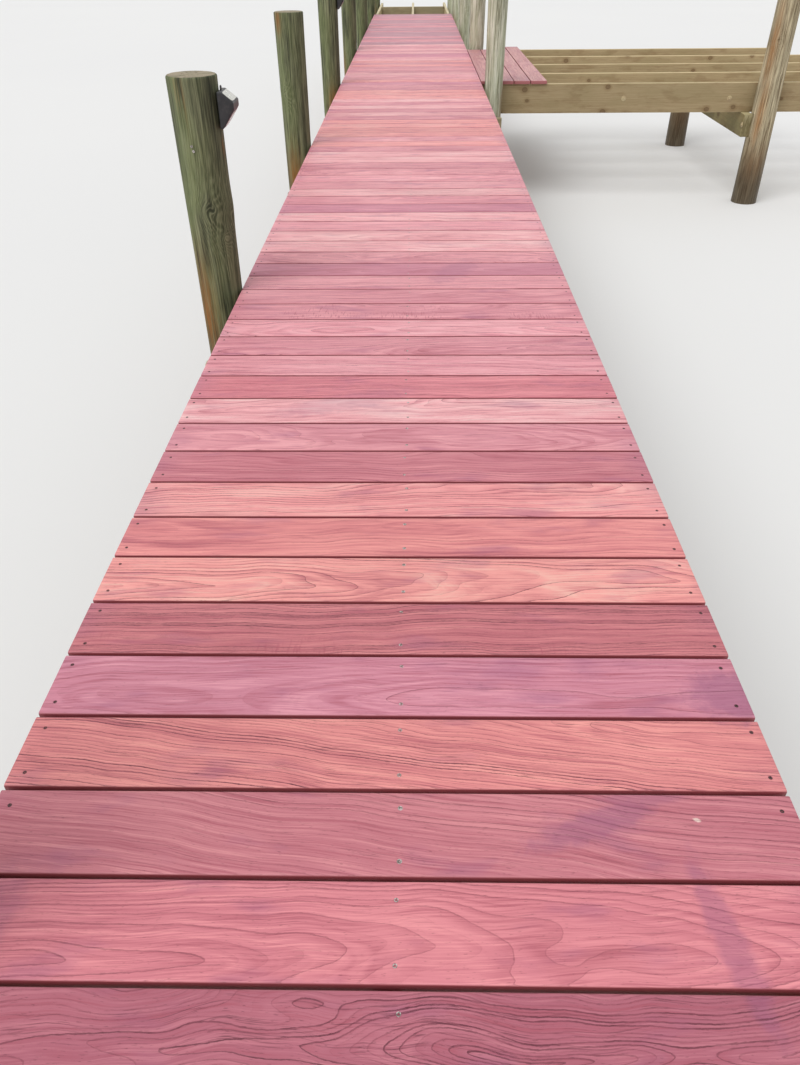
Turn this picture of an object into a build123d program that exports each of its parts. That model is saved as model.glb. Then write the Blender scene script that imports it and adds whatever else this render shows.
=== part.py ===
"""Timber jetty: a boarded walkway on round piles, with a half-boarded side platform.

The walkway runs along +Y in equal bays. Every bent has two piles with a pair of cap planks
bolted across them, three stringers stand on the caps, and the deck boards lie across the
stringers. A side platform of bare joists leaves the walkway on its +X side, carried by the
walkway piles and by a doubled beam on two stouter piles. All lengths are millimetres.
"""
from build123d import *
from math import atan, cos, degrees, pi
import os

# Levels, from the waterline up
deck_height = 1000.0
pile_above_deck = 703.0

# Walkway bays
bay = 2515.0
decked_bays = 6
bare_bays = 1
deck_near_overhang = 127.5
deck_far_setback = 312.0

# Deck boards
deck_width = 1219.2
board_width = 139.7
board_thickness = 25.4
board_gap = 6.35
board_eased_edge = 2.5

# Stringers, and the blocking in the bare bay
stringer_thickness = 38.0
stringer_depth = 235.0
stringer_setback = 12.0
splice_gap = 3.0
bays_per_stringer = 2
blocking_from_bent = 1640.0
plank_eased_edge = 3.0

# Cap planks, bolted to both sides of the piles
cap_thickness = 38.0
cap_depth = 184.0
dap_depth = 12.0
dap_clearance = 4.0

# Walkway piles
pile_top_diameter = 170.0
pile_base_diameter = 145.0
pile_worn_edge = 6.0
left_pile_clearance = 2.0
right_pile_clearance = 30.0
short_right_pile_count = 3
pile_flat_count = 32

# Side platform
approach_bays = 3
platform_bays = 1
joist_count = 5
joist_thickness = 38.0
joist_depth = 235.0
joist_length = 3658.0
side_board_count = 4
whole_side_board_count = 3
side_board_overhang = 20.0
beam_thickness = 38.0
beam_depth = 184.0
beam_plies = 2
beam_overhang = 104.0
beam_from_walkway = 2340.0
side_pile_top_diameter = 190.0
side_pile_base_diameter = 226.0

# Lights on the deck side of two left piles
light_count = 2
bays_per_light = 2
light_width = 95.0
light_height = 109.0
light_depth = 51.0
light_below_pile_top = 46.0
light_brow_height = 31.0
light_nose_height = 21.0
light_foot_depth = 9.0
light_top_depth = 12.0
light_seat_clearance = 0.3
light_rounding = 4.0
panel_thickness = 2.0
panel_margin = 4.5

# Derived levels
board_underside = deck_height - board_thickness
cap_top = board_underside - stringer_depth
cap_underside = cap_top - cap_depth
pile_top = deck_height + pile_above_deck
joist_underside = board_underside - joist_depth
beam_underside = joist_underside - beam_depth

# Derived lines across the walkway
half_deck = deck_width / 2
stringer_face = half_deck - stringer_setback
board_pitch = board_width + board_gap


def radius_at(height, top, top_diameter, base_diameter):
    """Radius of a tapered pile at a height, for a pile that ends at top."""
    share = height / top
    return (base_diameter + (top_diameter - base_diameter) * share) / 2


deck_radius = radius_at(deck_height, pile_top, pile_top_diameter, pile_base_diameter)
left_pile_x = -(half_deck + left_pile_clearance + deck_radius)
tall_right_pile_x = half_deck + right_pile_clearance + deck_radius
cap_radius = radius_at(cap_top, pile_top, pile_top_diameter, pile_base_diameter)
short_right_pile_x = stringer_face - cap_radius

# The caps seat on flats cut in the piles, this far each side of the bent line
cap_seat = cap_radius - dap_depth
cap_outer_face = cap_seat + cap_thickness

# Bent lines, and the two ends of the boards and of the stringers
bent_count = decked_bays + bare_bays + 1
bent_lines = [bay * index for index in range(bent_count)]
deck_near_end = -deck_near_overhang
deck_far_end = bent_lines[decked_bays] - deck_far_setback
stringer_near_end = deck_near_end + stringer_setback
stringer_far_end = bent_lines[-1] - stringer_near_end

# The platform's first joist stands just past one bent's caps, and its last just past a later bent's
platform_near_bent = bent_lines[approach_bays]
platform_far_bent = bent_lines[approach_bays + platform_bays]
first_joist_y = platform_near_bent + cap_outer_face
last_joist_y = platform_far_bent + cap_outer_face
joist_spacing = (last_joist_y - first_joist_y) / (joist_count - 1)
joist_lines = [first_joist_y + joist_spacing * index for index in range(joist_count)]
joist_far_end = stringer_face + joist_length

# The doubled beam lies against flats on the side piles, which stand beyond it
beam_near_face = half_deck + beam_from_walkway
beam_far_face = beam_near_face + beam_plies * beam_thickness
side_pile_cut_radius = radius_at(
    joist_underside, pile_top, side_pile_top_diameter, side_pile_base_diameter
)
side_pile_seat = side_pile_cut_radius - dap_depth
side_pile_x = beam_far_face + side_pile_seat
side_pile_lines = [first_joist_y - side_pile_seat, last_joist_y - side_pile_seat]
beam_near_end = first_joist_y - beam_overhang
beam_far_end = last_joist_y + joist_thickness + beam_overhang

# The lights' flat backs lie against the pile, which is widest at their top
light_top = pile_top - light_below_pile_top
light_base = light_top - light_height
light_pile_radius = radius_at(light_top, pile_top, pile_top_diameter, pile_base_diameter)
light_back = left_pile_x + light_pile_radius + light_seat_clearance
light_slope_run = light_depth - light_top_depth

# The origin is at the middle of the whole jetty, at the waterline
cap_near_edge = -cap_outer_face
cap_far_edge = bent_lines[-1] + cap_outer_face
left_edge = left_pile_x - pile_top_diameter / 2
near_edge = min(deck_near_end, cap_near_edge)
far_edge = max(stringer_far_end, cap_far_edge)
to_origin = Pos(-(left_edge + joist_far_end) / 2, -(near_edge + far_edge) / 2, 0)


def save(name, solids):
    """Write one node's solids, moved to the jetty's origin, as a STEP file."""
    moved = [to_origin * solid for solid in solids]
    shape = moved[0] if len(moved) == 1 else Compound(children=moved)
    export_step(shape, f"parts/{name}.step")


def timber_outline(width, depth, eased_edge):
    """Section of a sawn timber: a rectangle with all four edges eased."""
    return chamfer(Rectangle(width, depth).vertices(), eased_edge)


def timber_across(start, end, y, base, width, depth, eased_edge):
    """A timber along X, from start to end, by its near face y and its underside base."""
    place = Plane.YZ.offset(start) * Pos(y + width / 2, base + depth / 2)
    return extrude(place * timber_outline(width, depth, eased_edge), amount=end - start)


def timber_along(x, start, end, base, width, depth, eased_edge):
    """A timber along Y, from start to end, by its left face x and its underside base."""
    place = Plane.XZ.offset(-end) * Pos(x + width / 2, base + depth / 2)
    return extrude(place * timber_outline(width, depth, eased_edge), amount=end - start)


def plank_across(start, end, y, base, thickness, depth):
    """A framing plank on edge along X."""
    return timber_across(start, end, y, base, thickness, depth, plank_eased_edge)


def plank_along(x, start, end, base, thickness, depth):
    """A framing plank on edge along Y."""
    return timber_along(x, start, end, base, thickness, depth, plank_eased_edge)


def board_across(y):
    """One walkway board with its near edge at y, across the whole deck."""
    return timber_across(
        -half_deck, half_deck, y, board_underside, board_width, board_thickness, board_eased_edge
    )


def board_along(x, start, end):
    """One platform board with its left edge at x, from start to end along the walkway."""
    return timber_along(
        x, start, end, board_underside, board_width, board_thickness, board_eased_edge
    )


def round_pile(height, top_diameter, base_diameter):
    """A peeled round pile: many narrow flats round a taper, with a worn top edge."""
    flat_inset = cos(pi / pile_flat_count)
    shrink = (base_diameter - top_diameter) / 2 * flat_inset
    log_end = RegularPolygon(base_diameter / 2, pile_flat_count)
    log = extrude(log_end, amount=height, taper=degrees(atan(shrink / height)))
    top_edges = log.edges().group_by(Axis.Z)[-1]
    return chamfer(top_edges, pile_worn_edge)


def flat_cut(x_range, y_range, z_range):
    """The block that a saw takes out to leave a flat seat on a pile."""
    size = [high - low for low, high in (x_range, y_range, z_range)]
    middle = [(high + low) / 2 for low, high in (x_range, y_range, z_range)]
    return Pos(*middle) * Box(*size)


def dapped_pile(x, y, height, top_diameter):
    """A walkway pile with a flat cut on its near and far sides for the cap planks."""
    pile = round_pile(height, top_diameter, pile_base_diameter)
    reach = pile_base_diameter
    upright = (cap_underside, cap_top + dap_clearance)
    near = flat_cut((-reach, reach), (-reach, -cap_seat), upright)
    far = flat_cut((-reach, reach), (cap_seat, reach), upright)
    return Pos(x, y) * (pile - near - far)


def build_deck():
    """The walkway boards, one node a bay, every board a solid of its own."""
    run = deck_far_end - deck_near_end + board_gap
    board_total = int(run // board_pitch)
    starts = [deck_near_end + board_pitch * index for index in range(board_total)]
    for index in range(decked_bays):
        low = bent_lines[index] if index else deck_near_end
        high = bent_lines[index + 1]
        boards = [board_across(y) for y in starts if low <= y < high]
        save(f"deck_boards_bay_{index + 1}", boards)


def build_stringers():
    """Three lines of stringers, butted over the caps, the middle one a bay out of step."""
    lines = {
        "stringer_left": (-stringer_face, 0),
        "stringer_centre": (-stringer_thickness / 2, 1),
        "stringer_right": (stringer_face - stringer_thickness, 0),
    }
    for name, (x, shift) in lines.items():
        step = bays_per_stringer
        inner = [y for index, y in enumerate(bent_lines[1:-1], 1) if (index + shift) % step == 0]
        starts = [stringer_near_end] + [y + splice_gap / 2 for y in inner]
        ends = [y - splice_gap / 2 for y in inner] + [stringer_far_end]
        planks = [
            plank_along(x, start, end, cap_top, stringer_thickness, stringer_depth)
            for start, end in zip(starts, ends)
        ]
        save(name, planks)


def build_blocking():
    """Two blocks across the bare bay, between the three stringers."""
    y = bent_lines[decked_bays] + blocking_from_bent
    inner = stringer_face - stringer_thickness
    middle = stringer_thickness / 2
    blocks = [
        plank_across(-inner, -middle, y, cap_top, stringer_thickness, stringer_depth),
        plank_across(middle, inner, y, cap_top, stringer_thickness, stringer_depth),
    ]
    save("stringer_blocking", blocks)


def build_bents():
    """Each bent: a tall left pile, a tall or short right pile and two cap planks."""
    for index, y in enumerate(bent_lines):
        tall = index >= short_right_pile_count
        left = dapped_pile(left_pile_x, y, pile_top, pile_top_diameter)
        save(f"left_pile_{index + 1}", [left])
        if tall:
            right = dapped_pile(tall_right_pile_x, y, pile_top, pile_top_diameter)
            cap_end = tall_right_pile_x + cap_radius
        else:
            right = dapped_pile(short_right_pile_x, y, cap_top, 2 * cap_radius)
            cap_end = stringer_face
        save(f"right_pile_{index + 1}", [right])
        cap_start = left_pile_x - cap_radius
        caps = [
            plank_across(cap_start, cap_end, near_face, cap_underside, cap_thickness, cap_depth)
            for near_face in (y - cap_outer_face, y + cap_seat)
        ]
        save(f"cap_planks_{index + 1}", caps)


def build_side_joists():
    """Bare joists that butt on the right stringer and cross the doubled beam."""
    joists = [
        plank_across(stringer_face, joist_far_end, y, joist_underside, joist_thickness, joist_depth)
        for y in joist_lines
    ]
    save("side_joists", joists)


def build_side_beam():
    """The doubled beam under the joists, one node a ply."""
    for ply in range(beam_plies):
        x = beam_near_face + beam_thickness * ply
        beam = plank_along(x, beam_near_end, beam_far_end, beam_underside, beam_thickness, beam_depth)
        save(f"side_beam_ply_{ply + 1}", [beam])


def build_side_piles():
    """A tall pile at the first joist and a pile under the last, with flats for the beam."""
    reach = side_pile_base_diameter
    beam_band = (beam_underside, joist_underside + dap_clearance)
    beam_dap = flat_cut((-reach, -side_pile_seat), (-reach, reach), beam_band)
    joist_band = (joist_underside, board_underside + dap_clearance)
    joist_dap = flat_cut((-reach, reach), (side_pile_seat, reach), joist_band)
    first, last = side_pile_lines
    tall = round_pile(pile_top, side_pile_top_diameter, side_pile_base_diameter)
    save("side_pile_tall", [Pos(side_pile_x, first) * (tall - beam_dap - joist_dap)])
    cut_diameter = 2 * side_pile_cut_radius
    short = round_pile(joist_underside, cut_diameter, side_pile_base_diameter)
    save("side_pile_short", [Pos(side_pile_x, last) * (short - beam_dap)])


def build_side_boards():
    """Platform boards along the walkway's edge, the last ones butted over the middle joist."""
    pile_edge = tall_right_pile_x + deck_radius
    near_end = platform_near_bent + deck_radius + board_gap
    far_end = last_joist_y + joist_thickness + side_board_overhang
    short_end = platform_far_bent - deck_radius - board_gap
    joint = joist_lines[joist_count // 2] + joist_thickness / 2
    boards = []
    for index in range(side_board_count):
        x = half_deck + board_gap + board_pitch * index
        end = short_end if x < pile_edge + board_gap else far_end
        if index < whole_side_board_count:
            boards.append(board_along(x, near_end, end))
        else:
            boards.append(board_along(x, near_end, joint - splice_gap / 2))
            boards.append(board_along(x, joint + splice_gap / 2, end))
    save("side_boards", boards)


def light_outline():
    """Side outline of a light: upright back, sloped brow with the panel, blunt nose, cut-back foot."""
    brow = light_height - light_brow_height
    return Polyline(
        (0, 0),
        (light_foot_depth, 0),
        (light_depth, brow - light_nose_height),
        (light_depth, brow),
        (light_top_depth, light_height),
        (0, light_height),
        (0, 0),
    )


def light_body(y):
    """The housing at a bent line: the outline drawn across it, with round corners at the nose."""
    side = Plane.XZ.offset(-(y + light_width / 2)) * Pos(light_back, light_base)
    body = extrude(side * make_face(light_outline()), amount=light_width)
    nose_edges = body.edges().filter_by(Axis.Y).sort_by(Axis.X)[-2:]
    return fillet(nose_edges, light_rounding)


def light_panel(y):
    """The thin glazed panel at a bent line, laid on the middle of the brow."""
    slope_length = (light_slope_run**2 + light_brow_height**2) ** 0.5
    brow = Plane(
        origin=(
            light_back + light_top_depth + light_slope_run / 2,
            y,
            light_base + light_height - light_brow_height / 2,
        ),
        x_dir=(light_slope_run, 0, -light_brow_height),
        z_dir=(light_brow_height, 0, light_slope_run),
    )
    length = slope_length - 2 * panel_margin
    width = light_width - 2 * panel_margin
    return extrude(brow * RectangleRounded(length, width, light_rounding), amount=panel_thickness)


def build_lights():
    """The lights on the left piles, from the second bent on, with their panels."""
    for order in range(light_count):
        y = bent_lines[1 + bays_per_light * order]
        save(f"pile_light_{order + 1}", [light_body(y)])
        save(f"pile_light_panel_{order + 1}", [light_panel(y)])


os.makedirs("parts", exist_ok=True)
build_deck()
build_stringers()
build_blocking()
build_bents()
build_side_joists()
build_side_beam()
build_side_piles()
build_side_boards()
build_lights()
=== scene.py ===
"""Dresses a timber jetty: sawn boards and planks, peeled piles, fastenings and two lights.

The walkway runs along Y and its boards lie along X. Every timber is a closed surface worked out
on a grid, with its own growth rings, knots and wear. All lengths are metres.
"""

import logging
import math
from dataclasses import dataclass, field, replace
from enum import Enum
from types import SimpleNamespace
from typing import Union

import bpy
import numpy as np
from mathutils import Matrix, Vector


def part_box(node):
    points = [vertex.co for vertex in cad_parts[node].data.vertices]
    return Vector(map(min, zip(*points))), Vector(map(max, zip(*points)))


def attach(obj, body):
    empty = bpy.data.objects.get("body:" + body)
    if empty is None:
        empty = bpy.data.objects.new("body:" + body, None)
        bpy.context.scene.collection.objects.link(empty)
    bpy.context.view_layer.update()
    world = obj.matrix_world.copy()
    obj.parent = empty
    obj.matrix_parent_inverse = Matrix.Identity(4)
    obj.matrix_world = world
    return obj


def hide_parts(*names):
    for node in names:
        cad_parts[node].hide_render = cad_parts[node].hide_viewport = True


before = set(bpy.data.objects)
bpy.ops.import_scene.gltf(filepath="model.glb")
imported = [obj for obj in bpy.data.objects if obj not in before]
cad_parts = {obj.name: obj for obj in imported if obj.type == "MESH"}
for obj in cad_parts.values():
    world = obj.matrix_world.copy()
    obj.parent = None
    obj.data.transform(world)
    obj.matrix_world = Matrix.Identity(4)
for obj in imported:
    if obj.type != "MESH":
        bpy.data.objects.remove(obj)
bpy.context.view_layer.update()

logging.basicConfig(level=logging.INFO, format="%(message)s")
log = logging.getLogger("jetty")

BODY = "root"
RNG_SEED = 4127
FULL_TURN = 2 * math.pi
SHARPEST_SMOOTH = math.radians(38.0)
BENTS = range(1, 9)
PAST_TOP = 1.0
SEED_RANGE = (0, 90)

Colour = tuple[float, float, float, float]
Material = bpy.types.Material
Value = Union["Signal", float, tuple]


def shade(*screen: int) -> Colour:
    """The linear colour, with an alpha of 1, of a red, green and blue from 0 to 255 on screen."""
    part = np.array(screen) / 255
    return (*np.where(part <= 0.04045, part / 12.92, ((part + 0.055) / 1.055) ** 2.4).tolist(), 1.0)


# Surfaces


def carried(points: np.ndarray, offset: np.ndarray, turned: bool) -> np.ndarray:
    """Points moved by an offset, first turned a quarter about Z if asked, so X lies along Y."""
    own = np.stack([-points[:, 1], points[:, 0], points[:, 2]], axis=1) if turned else points
    return own + offset


@dataclass
class Surface:
    """Points, four-sided and three-sided faces, and named values at the points."""

    points: np.ndarray
    quads: np.ndarray
    fans: np.ndarray
    values: dict[str, np.ndarray] = field(default_factory=dict)

    def placed(self, offset: np.ndarray, turned: bool = False) -> "Surface":
        """The skin moved by an offset, first turned a quarter if asked."""
        return replace(self, points=carried(self.points, offset, turned))

    def faced(self, place: np.ndarray, normal: np.ndarray, spin: float = 0.0) -> "Surface":
        """The skin with its Z turned to a level normal, spun about it and moved to a place.

        Args:
            place: Where its origin goes.
            normal: The unit vector that its Z turns to.
            spin: Angle of the turn about the normal.

        Returns:
            The turned copy.
        """
        side = np.cross([0.0, 0.0, 1.0], normal)
        first = side * math.cos(spin) + np.cross(normal, side) * math.sin(spin)
        axes = np.stack([first, np.cross(normal, first), normal])
        return replace(self, points=self.points @ axes + place)


def joined(surfaces: list[Surface]) -> Surface:
    """One surface that holds all the others.

    Args:
        surfaces: Surfaces with the same named values.

    Returns:
        The joined surface: each one's face numbers are raised by the points before it.
    """
    moved = list(zip(surfaces, np.cumsum([0] + [len(own.points) for own in surfaces[:-1]])))
    names = surfaces[0].values
    return Surface(
        np.concatenate([own.points for own in surfaces]),
        np.concatenate([own.quads + shift for own, shift in moved]),
        np.concatenate([own.fans + shift for own, shift in moved]),
        {name: np.concatenate([own.values[name] for own in surfaces]) for name in names},
    )


def closed_tube(rings: np.ndarray, values: dict[str, np.ndarray] | None = None) -> Surface:
    """Closes a grid of rings into a skin: each ring joins the next, and a pole shuts each end.

    A pole is the mean of its end ring, and so is each of its values. Columns go counter-clockwise
    about the way from the first ring to the last, so the faces point outwards.

    Args:
        rings: Points, as rings by columns by three.
        values: Named values at the same points, as rings by columns by one, three or four.

    Returns:
        The closed surface.
    """
    ring_count, columns, _ = rings.shape
    number = np.arange(ring_count * columns).reshape(ring_count, columns)
    after = np.roll(number, -1, axis=1)
    quads = np.stack([number[:-1], after[:-1], after[1:], number[1:]], axis=-1).reshape(-1, 4)
    poles = ring_count * columns + np.arange(2)[:, None].repeat(columns, axis=1)
    first = np.stack([poles[0], after[0], number[0]], axis=-1)
    last = np.stack([poles[1], number[-1], after[-1]], axis=-1)

    def with_poles(grid: np.ndarray) -> np.ndarray:
        """The grid's rows in one list, followed by the means of its first and last ring."""
        return np.concatenate([grid.reshape(-1, grid.shape[-1]), grid[[0, -1]].mean(axis=1)])

    own = {name: with_poles(grid) for name, grid in (values or {}).items()}
    return Surface(with_poles(rings), quads, np.concatenate([first, last]), own)


def round_outline(columns: int, half: Value = 1.0, power: float = 1.0) -> np.ndarray:
    """A circle, or a squarer ring: the cosine and sine to a power, times the half sides.

    Args:
        columns: How many points there are.
        half: The half side, or one for each way.
        power: 1 for a circle, less for squarer rings.

    Returns:
        The points, counter-clockwise, as columns by two.
    """
    turn = np.arange(columns) * FULL_TURN / columns
    way = np.stack([np.cos(turn), np.sin(turn)], axis=-1)
    return np.sign(way) * np.abs(way) ** power * half


def lofted(outline: np.ndarray, shares: Value, heights: Value) -> np.ndarray:
    """Rings of one outline: each is the outline times its share, at its height."""
    flat = np.multiply.outer(np.array(shares), outline)
    return np.concatenate([flat, flat[..., :1] * 0 + np.array(heights)[:, None, None]], axis=-1)


def same_ends(start: list[float], middle: np.ndarray, sign: int) -> np.ndarray:
    """A row that ends as it starts: the start, the middle, then the start reversed by a sign."""
    return np.concatenate([start, middle, np.array(start[::-1]) * sign])


def over_grid(shape: tuple, numbers: dict[str, Value]) -> dict[str, np.ndarray]:
    """Named numbers, or rows and columns of them, spread over all points of a grid."""
    return {name: np.broadcast_to(own, shape)[..., None] for name, own in numbers.items()}


def ripple(
    places: np.ndarray, rng: np.random.Generator, waves: int, slowest: float, fastest: float
) -> np.ndarray:
    """A smooth random line: the mean of sines at random rates and phases.

    Args:
        places: Where the line is read.
        rng: Source of the rates and phases.
        waves: How many sines there are.
        slowest: Lowest rate, in turns per unit of place.
        fastest: Highest rate, in turns per unit of place.

    Returns:
        The line's value at each place, from -1 to 1.
    """
    rates = rng.uniform(slowest, fastest, waves)
    phases = rng.uniform(0, FULL_TURN, waves)
    return np.sin(FULL_TURN * rates * places[..., None] + phases).sum(axis=-1) / waves


def linked(name: str, data: bpy.types.ID) -> bpy.types.Object:
    """Makes an object of its data and links it into the scene.

    Args:
        name: The object's name.
        data: Its mesh, camera or light.

    Returns:
        The object.
    """
    thing = bpy.data.objects.new(name, data)
    bpy.context.scene.collection.objects.link(thing)
    return thing


def finished_piece(
    name: str, surface: Surface, material: Material, node: str = ""
) -> None:
    """Makes a surface a piece that rides on the jetty's body, smooth apart from its corners.

    Args:
        name: The piece's name.
        surface: Its closed surface, in the frame's place.
        material: Its finish.
        node: The frame's node that it replaces, if it replaces one.
    """
    mesh = bpy.data.meshes.new(name)
    quads, fans = surface.quads, surface.fans
    mesh.vertices.add(len(surface.points))
    mesh.vertices.foreach_set("co", surface.points.astype(np.float32).ravel())
    mesh.loops.add(quads.size + fans.size)
    corners = np.concatenate([quads.ravel(), fans.ravel()])
    mesh.loops.foreach_set("vertex_index", corners.astype(np.int32))
    mesh.polygons.add(len(quads) + len(fans))
    starts = np.concatenate([np.arange(len(quads)) * 4, quads.size + np.arange(len(fans)) * 3])
    mesh.polygons.foreach_set("loop_start", starts.astype(np.int32))
    kinds = {1: ("FLOAT", "value"), 3: ("FLOAT_VECTOR", "vector"), 4: ("FLOAT_COLOR", "color")}
    for label, values in surface.values.items():
        kind, key = kinds[values.shape[-1]]
        layer = mesh.attributes.new(label, kind, "POINT")
        layer.data.foreach_set(key, values.astype(np.float32).ravel())
    mesh.update(calc_edges=True)
    mesh.validate()
    mesh.shade_smooth()
    mesh.set_sharp_from_angle(angle=SHARPEST_SMOOTH)
    mesh.materials.append(material)
    piece = linked(name, mesh)
    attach(piece, BODY)
    if node:
        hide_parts(node)
    log.info("%s: %d faces", name, len(mesh.polygons))


# The frame's boxes


@dataclass(frozen=True)
class Box:
    """Lowest and highest corner of one timber in the frame."""

    low: np.ndarray
    high: np.ndarray

    @property
    def middle(self) -> np.ndarray:
        """The box's centre."""
        return (self.low + self.high) / 2

    @property
    def size(self) -> np.ndarray:
        """The box's three sides."""
        return self.high - self.low


def node_box(node: str) -> Box:
    """The box of a whole node."""
    return Box(*(np.array(corner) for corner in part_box(node)))


def timber_boxes(node: str) -> list[Box]:
    """The box of each separate timber of a node, in order along the walkway, then across it.

    Points at one place are one point, and each takes the lowest number that reaches it over the
    edges, until nothing changes, so that points with the same number belong to one timber.

    Args:
        node: Name of the frame's node.

    Returns:
        One box for each timber.
    """
    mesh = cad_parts[node].data
    points = np.empty(len(mesh.vertices) * 3, np.float32)
    mesh.vertices.foreach_get("co", points)
    corners = np.empty(len(mesh.edges) * 2, np.int32)
    mesh.edges.foreach_get("vertices", corners)
    grain = 1e-5
    cells = np.round(points.reshape(-1, 3) / grain).astype(np.int64)
    places, number = np.unique(cells, axis=0, return_inverse=True)
    ends = number.ravel()[corners.reshape(-1, 2)]
    group, before = np.arange(len(places)), None
    while not np.array_equal(group, before):
        before = group.copy()
        lowest = np.minimum(group[ends[:, 0]], group[ends[:, 1]])
        for column in (0, 1):
            np.minimum.at(group, ends[:, column], lowest)
        group = group[group]
    timbers = [places[group == label] * grain for label in np.unique(group)]
    boxes = [Box(own.min(axis=0), own.max(axis=0)) for own in timbers]
    return sorted(boxes, key=lambda box: (round(box.middle[1], 3), round(box.middle[0], 3)))


# Shader graphs


class Signal:
    """A value in a shader graph. Arithmetic on it adds Math nodes."""

    def __init__(self, graph: "Graph", socket: bpy.types.NodeSocket) -> None:
        """Keeps the graph and the socket that the value comes from."""
        self.graph, self.socket = graph, socket

    def __add__(self, other: Value) -> "Signal":
        """The sum."""
        return self.graph.math("ADD", self, other)

    def __sub__(self, other: Value) -> "Signal":
        """The difference."""
        return self.graph.math("SUBTRACT", self, other)

    def __rsub__(self, other: Value) -> "Signal":
        """The difference from a plain number."""
        return self.graph.math("SUBTRACT", other, self)

    def __mul__(self, other: Value) -> "Signal":
        """The product."""
        return self.graph.math("MULTIPLY", self, other)

    def __truediv__(self, other: Value) -> "Signal":
        """The quotient."""
        return self.graph.math("DIVIDE", self, other)

    def __pow__(self, other: Value) -> "Signal":
        """The power."""
        return self.graph.math("POWER", self, other)

    def at_least(self, other: Value) -> "Signal":
        """The larger of the two."""
        return self.graph.math("MAXIMUM", self, other)

    def span(self, low: Value, high: Value) -> "Signal":
        """A smooth step: 0 at low, 1 at high and clamped beyond, either way round."""
        inputs = {0: self, 1: low, 2: high, 3: 0.0, 4: 1.0}
        return self.graph.out("ShaderNodeMapRange", inputs, interpolation_type="SMOOTHSTEP")

    def remap(self, low: float, high: float) -> "Signal":
        """A value from 0 to 1 spread from low to high."""
        return self.graph.out("ShaderNodeMapRange", {0: self, 3: low, 4: high})

    def parts(self) -> list["Signal"]:
        """The three parts of a vector or colour."""
        node = self.graph.node("ShaderNodeSeparateXYZ", {0: self})
        return [Signal(self.graph, socket) for socket in node.outputs]

    def stretched(self, scales: tuple, shift: Value) -> "Signal":
        """A vector times three scales, then moved by a shift along all axes."""
        return self.graph.vector("ADD", self.graph.vector("MULTIPLY", self, scales), shift)

    def noise(
        self, scales: tuple, shift: Value = (0.0,) * 3, detail: float = 2.0, rough: float = 0.5
    ) -> "Signal":
        """Soft noise from 0 to 1 at a vector.

        Args:
            scales: How much the vector is stretched each way.
            shift: Moves the vector along all axes.
            detail: How many finer layers the noise has.
            rough: The share of the finer layers.

        Returns:
            The noise.
        """
        place = self.stretched(scales, shift)
        inputs = {"Vector": place, "Scale": 1.0, "Detail": detail, "Roughness": rough}
        return self.graph.out("ShaderNodeTexNoise", inputs)


class Graph:
    """Adds nodes to a tree and links them, from signals or plain values."""

    def __init__(self, tree: bpy.types.NodeTree) -> None:
        """Keeps the tree that the nodes go into."""
        self.tree = tree

    def feed(self, socket: bpy.types.NodeSocket, value: Value) -> None:
        """Links a signal into an input, or sets the input to a plain value.

        Args:
            socket: The input.
            value: What goes into it.
        """
        if isinstance(value, Signal):
            self.tree.links.new(value.socket, socket)
        else:
            socket.default_value = value

    def node(
        self, kind: str, inputs: dict[int | str, Value] | None = None, **settings: object
    ) -> bpy.types.Node:
        """Adds a node, sets it and feeds its inputs.

        Args:
            kind: The node's type.
            inputs: What goes into each input, by number or name.
            **settings: The node's own options.

        Returns:
            The new node.
        """
        node = self.tree.nodes.new(kind)
        for name, value in settings.items():
            setattr(node, name, value)
        for key, value in (inputs or {}).items():
            self.feed(node.inputs[key], value)
        return node

    def out(self, kind: str, inputs: dict, output: int | str = 0, **settings: object) -> Signal:
        """One of the outputs of a node that is added the same way."""
        return Signal(self, self.node(kind, inputs, **settings).outputs[output])

    def math(self, operation: str, *values: Value) -> Signal:
        """A Math node on the values."""
        return self.out("ShaderNodeMath", dict(enumerate(values)), operation=operation)

    def vector(self, operation: str, *values: Value) -> Signal:
        """A Vector Math node on the values."""
        return self.out("ShaderNodeVectorMath", dict(enumerate(values)), operation=operation)

    def combined(self, *parts: Value) -> Signal:
        """A vector of three parts."""
        return self.out("ShaderNodeCombineXYZ", dict(enumerate(parts)))

    def chance(self, factor: float, seed: Signal, number: Signal) -> Signal:
        """A random number from 0 to 1 for each whole number, other ones for another seed."""
        place = self.math("MULTIPLY_ADD", seed, factor, number)
        return self.out("ShaderNodeTexWhiteNoise", {"W": place}, noise_dimensions="1D")

    def named(self, name: str, output: str = "Fac") -> Signal:
        """A value that the mesh carries at its points."""
        return self.out("ShaderNodeAttribute", {}, output, attribute_name=name)

    def place(self) -> Signal:
        """The place in the object's own coordinates."""
        return self.out("ShaderNodeTexCoord", {}, "Object")

    def coats(self, colour: Value, *layers: tuple[Value, Value], blend: str = "MIX") -> Signal:
        """Colours laid over a ground in order, each by its own mask.

        Args:
            colour: The ground.
            *layers: A mask from 0 to 1 and a colour for each layer.
            blend: How a layer acts on what lies under it.

        Returns:
            The last colour.
        """
        options = {"data_type": "RGBA", "blend_type": blend, "clamp_factor": True}
        for mask, tint in layers:
            colour = self.out("ShaderNodeMix", {0: mask, 6: colour, 7: tint}, 2, **options)
        return colour

    def group(self, group: "Group", **inputs: Value) -> SimpleNamespace:
        """Puts a shared group into the tree with its own values, and gives its outputs."""
        node = self.node("ShaderNodeGroup", inputs, node_tree=group.tree)
        return SimpleNamespace(**{item.name: Signal(self, item) for item in node.outputs})


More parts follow.
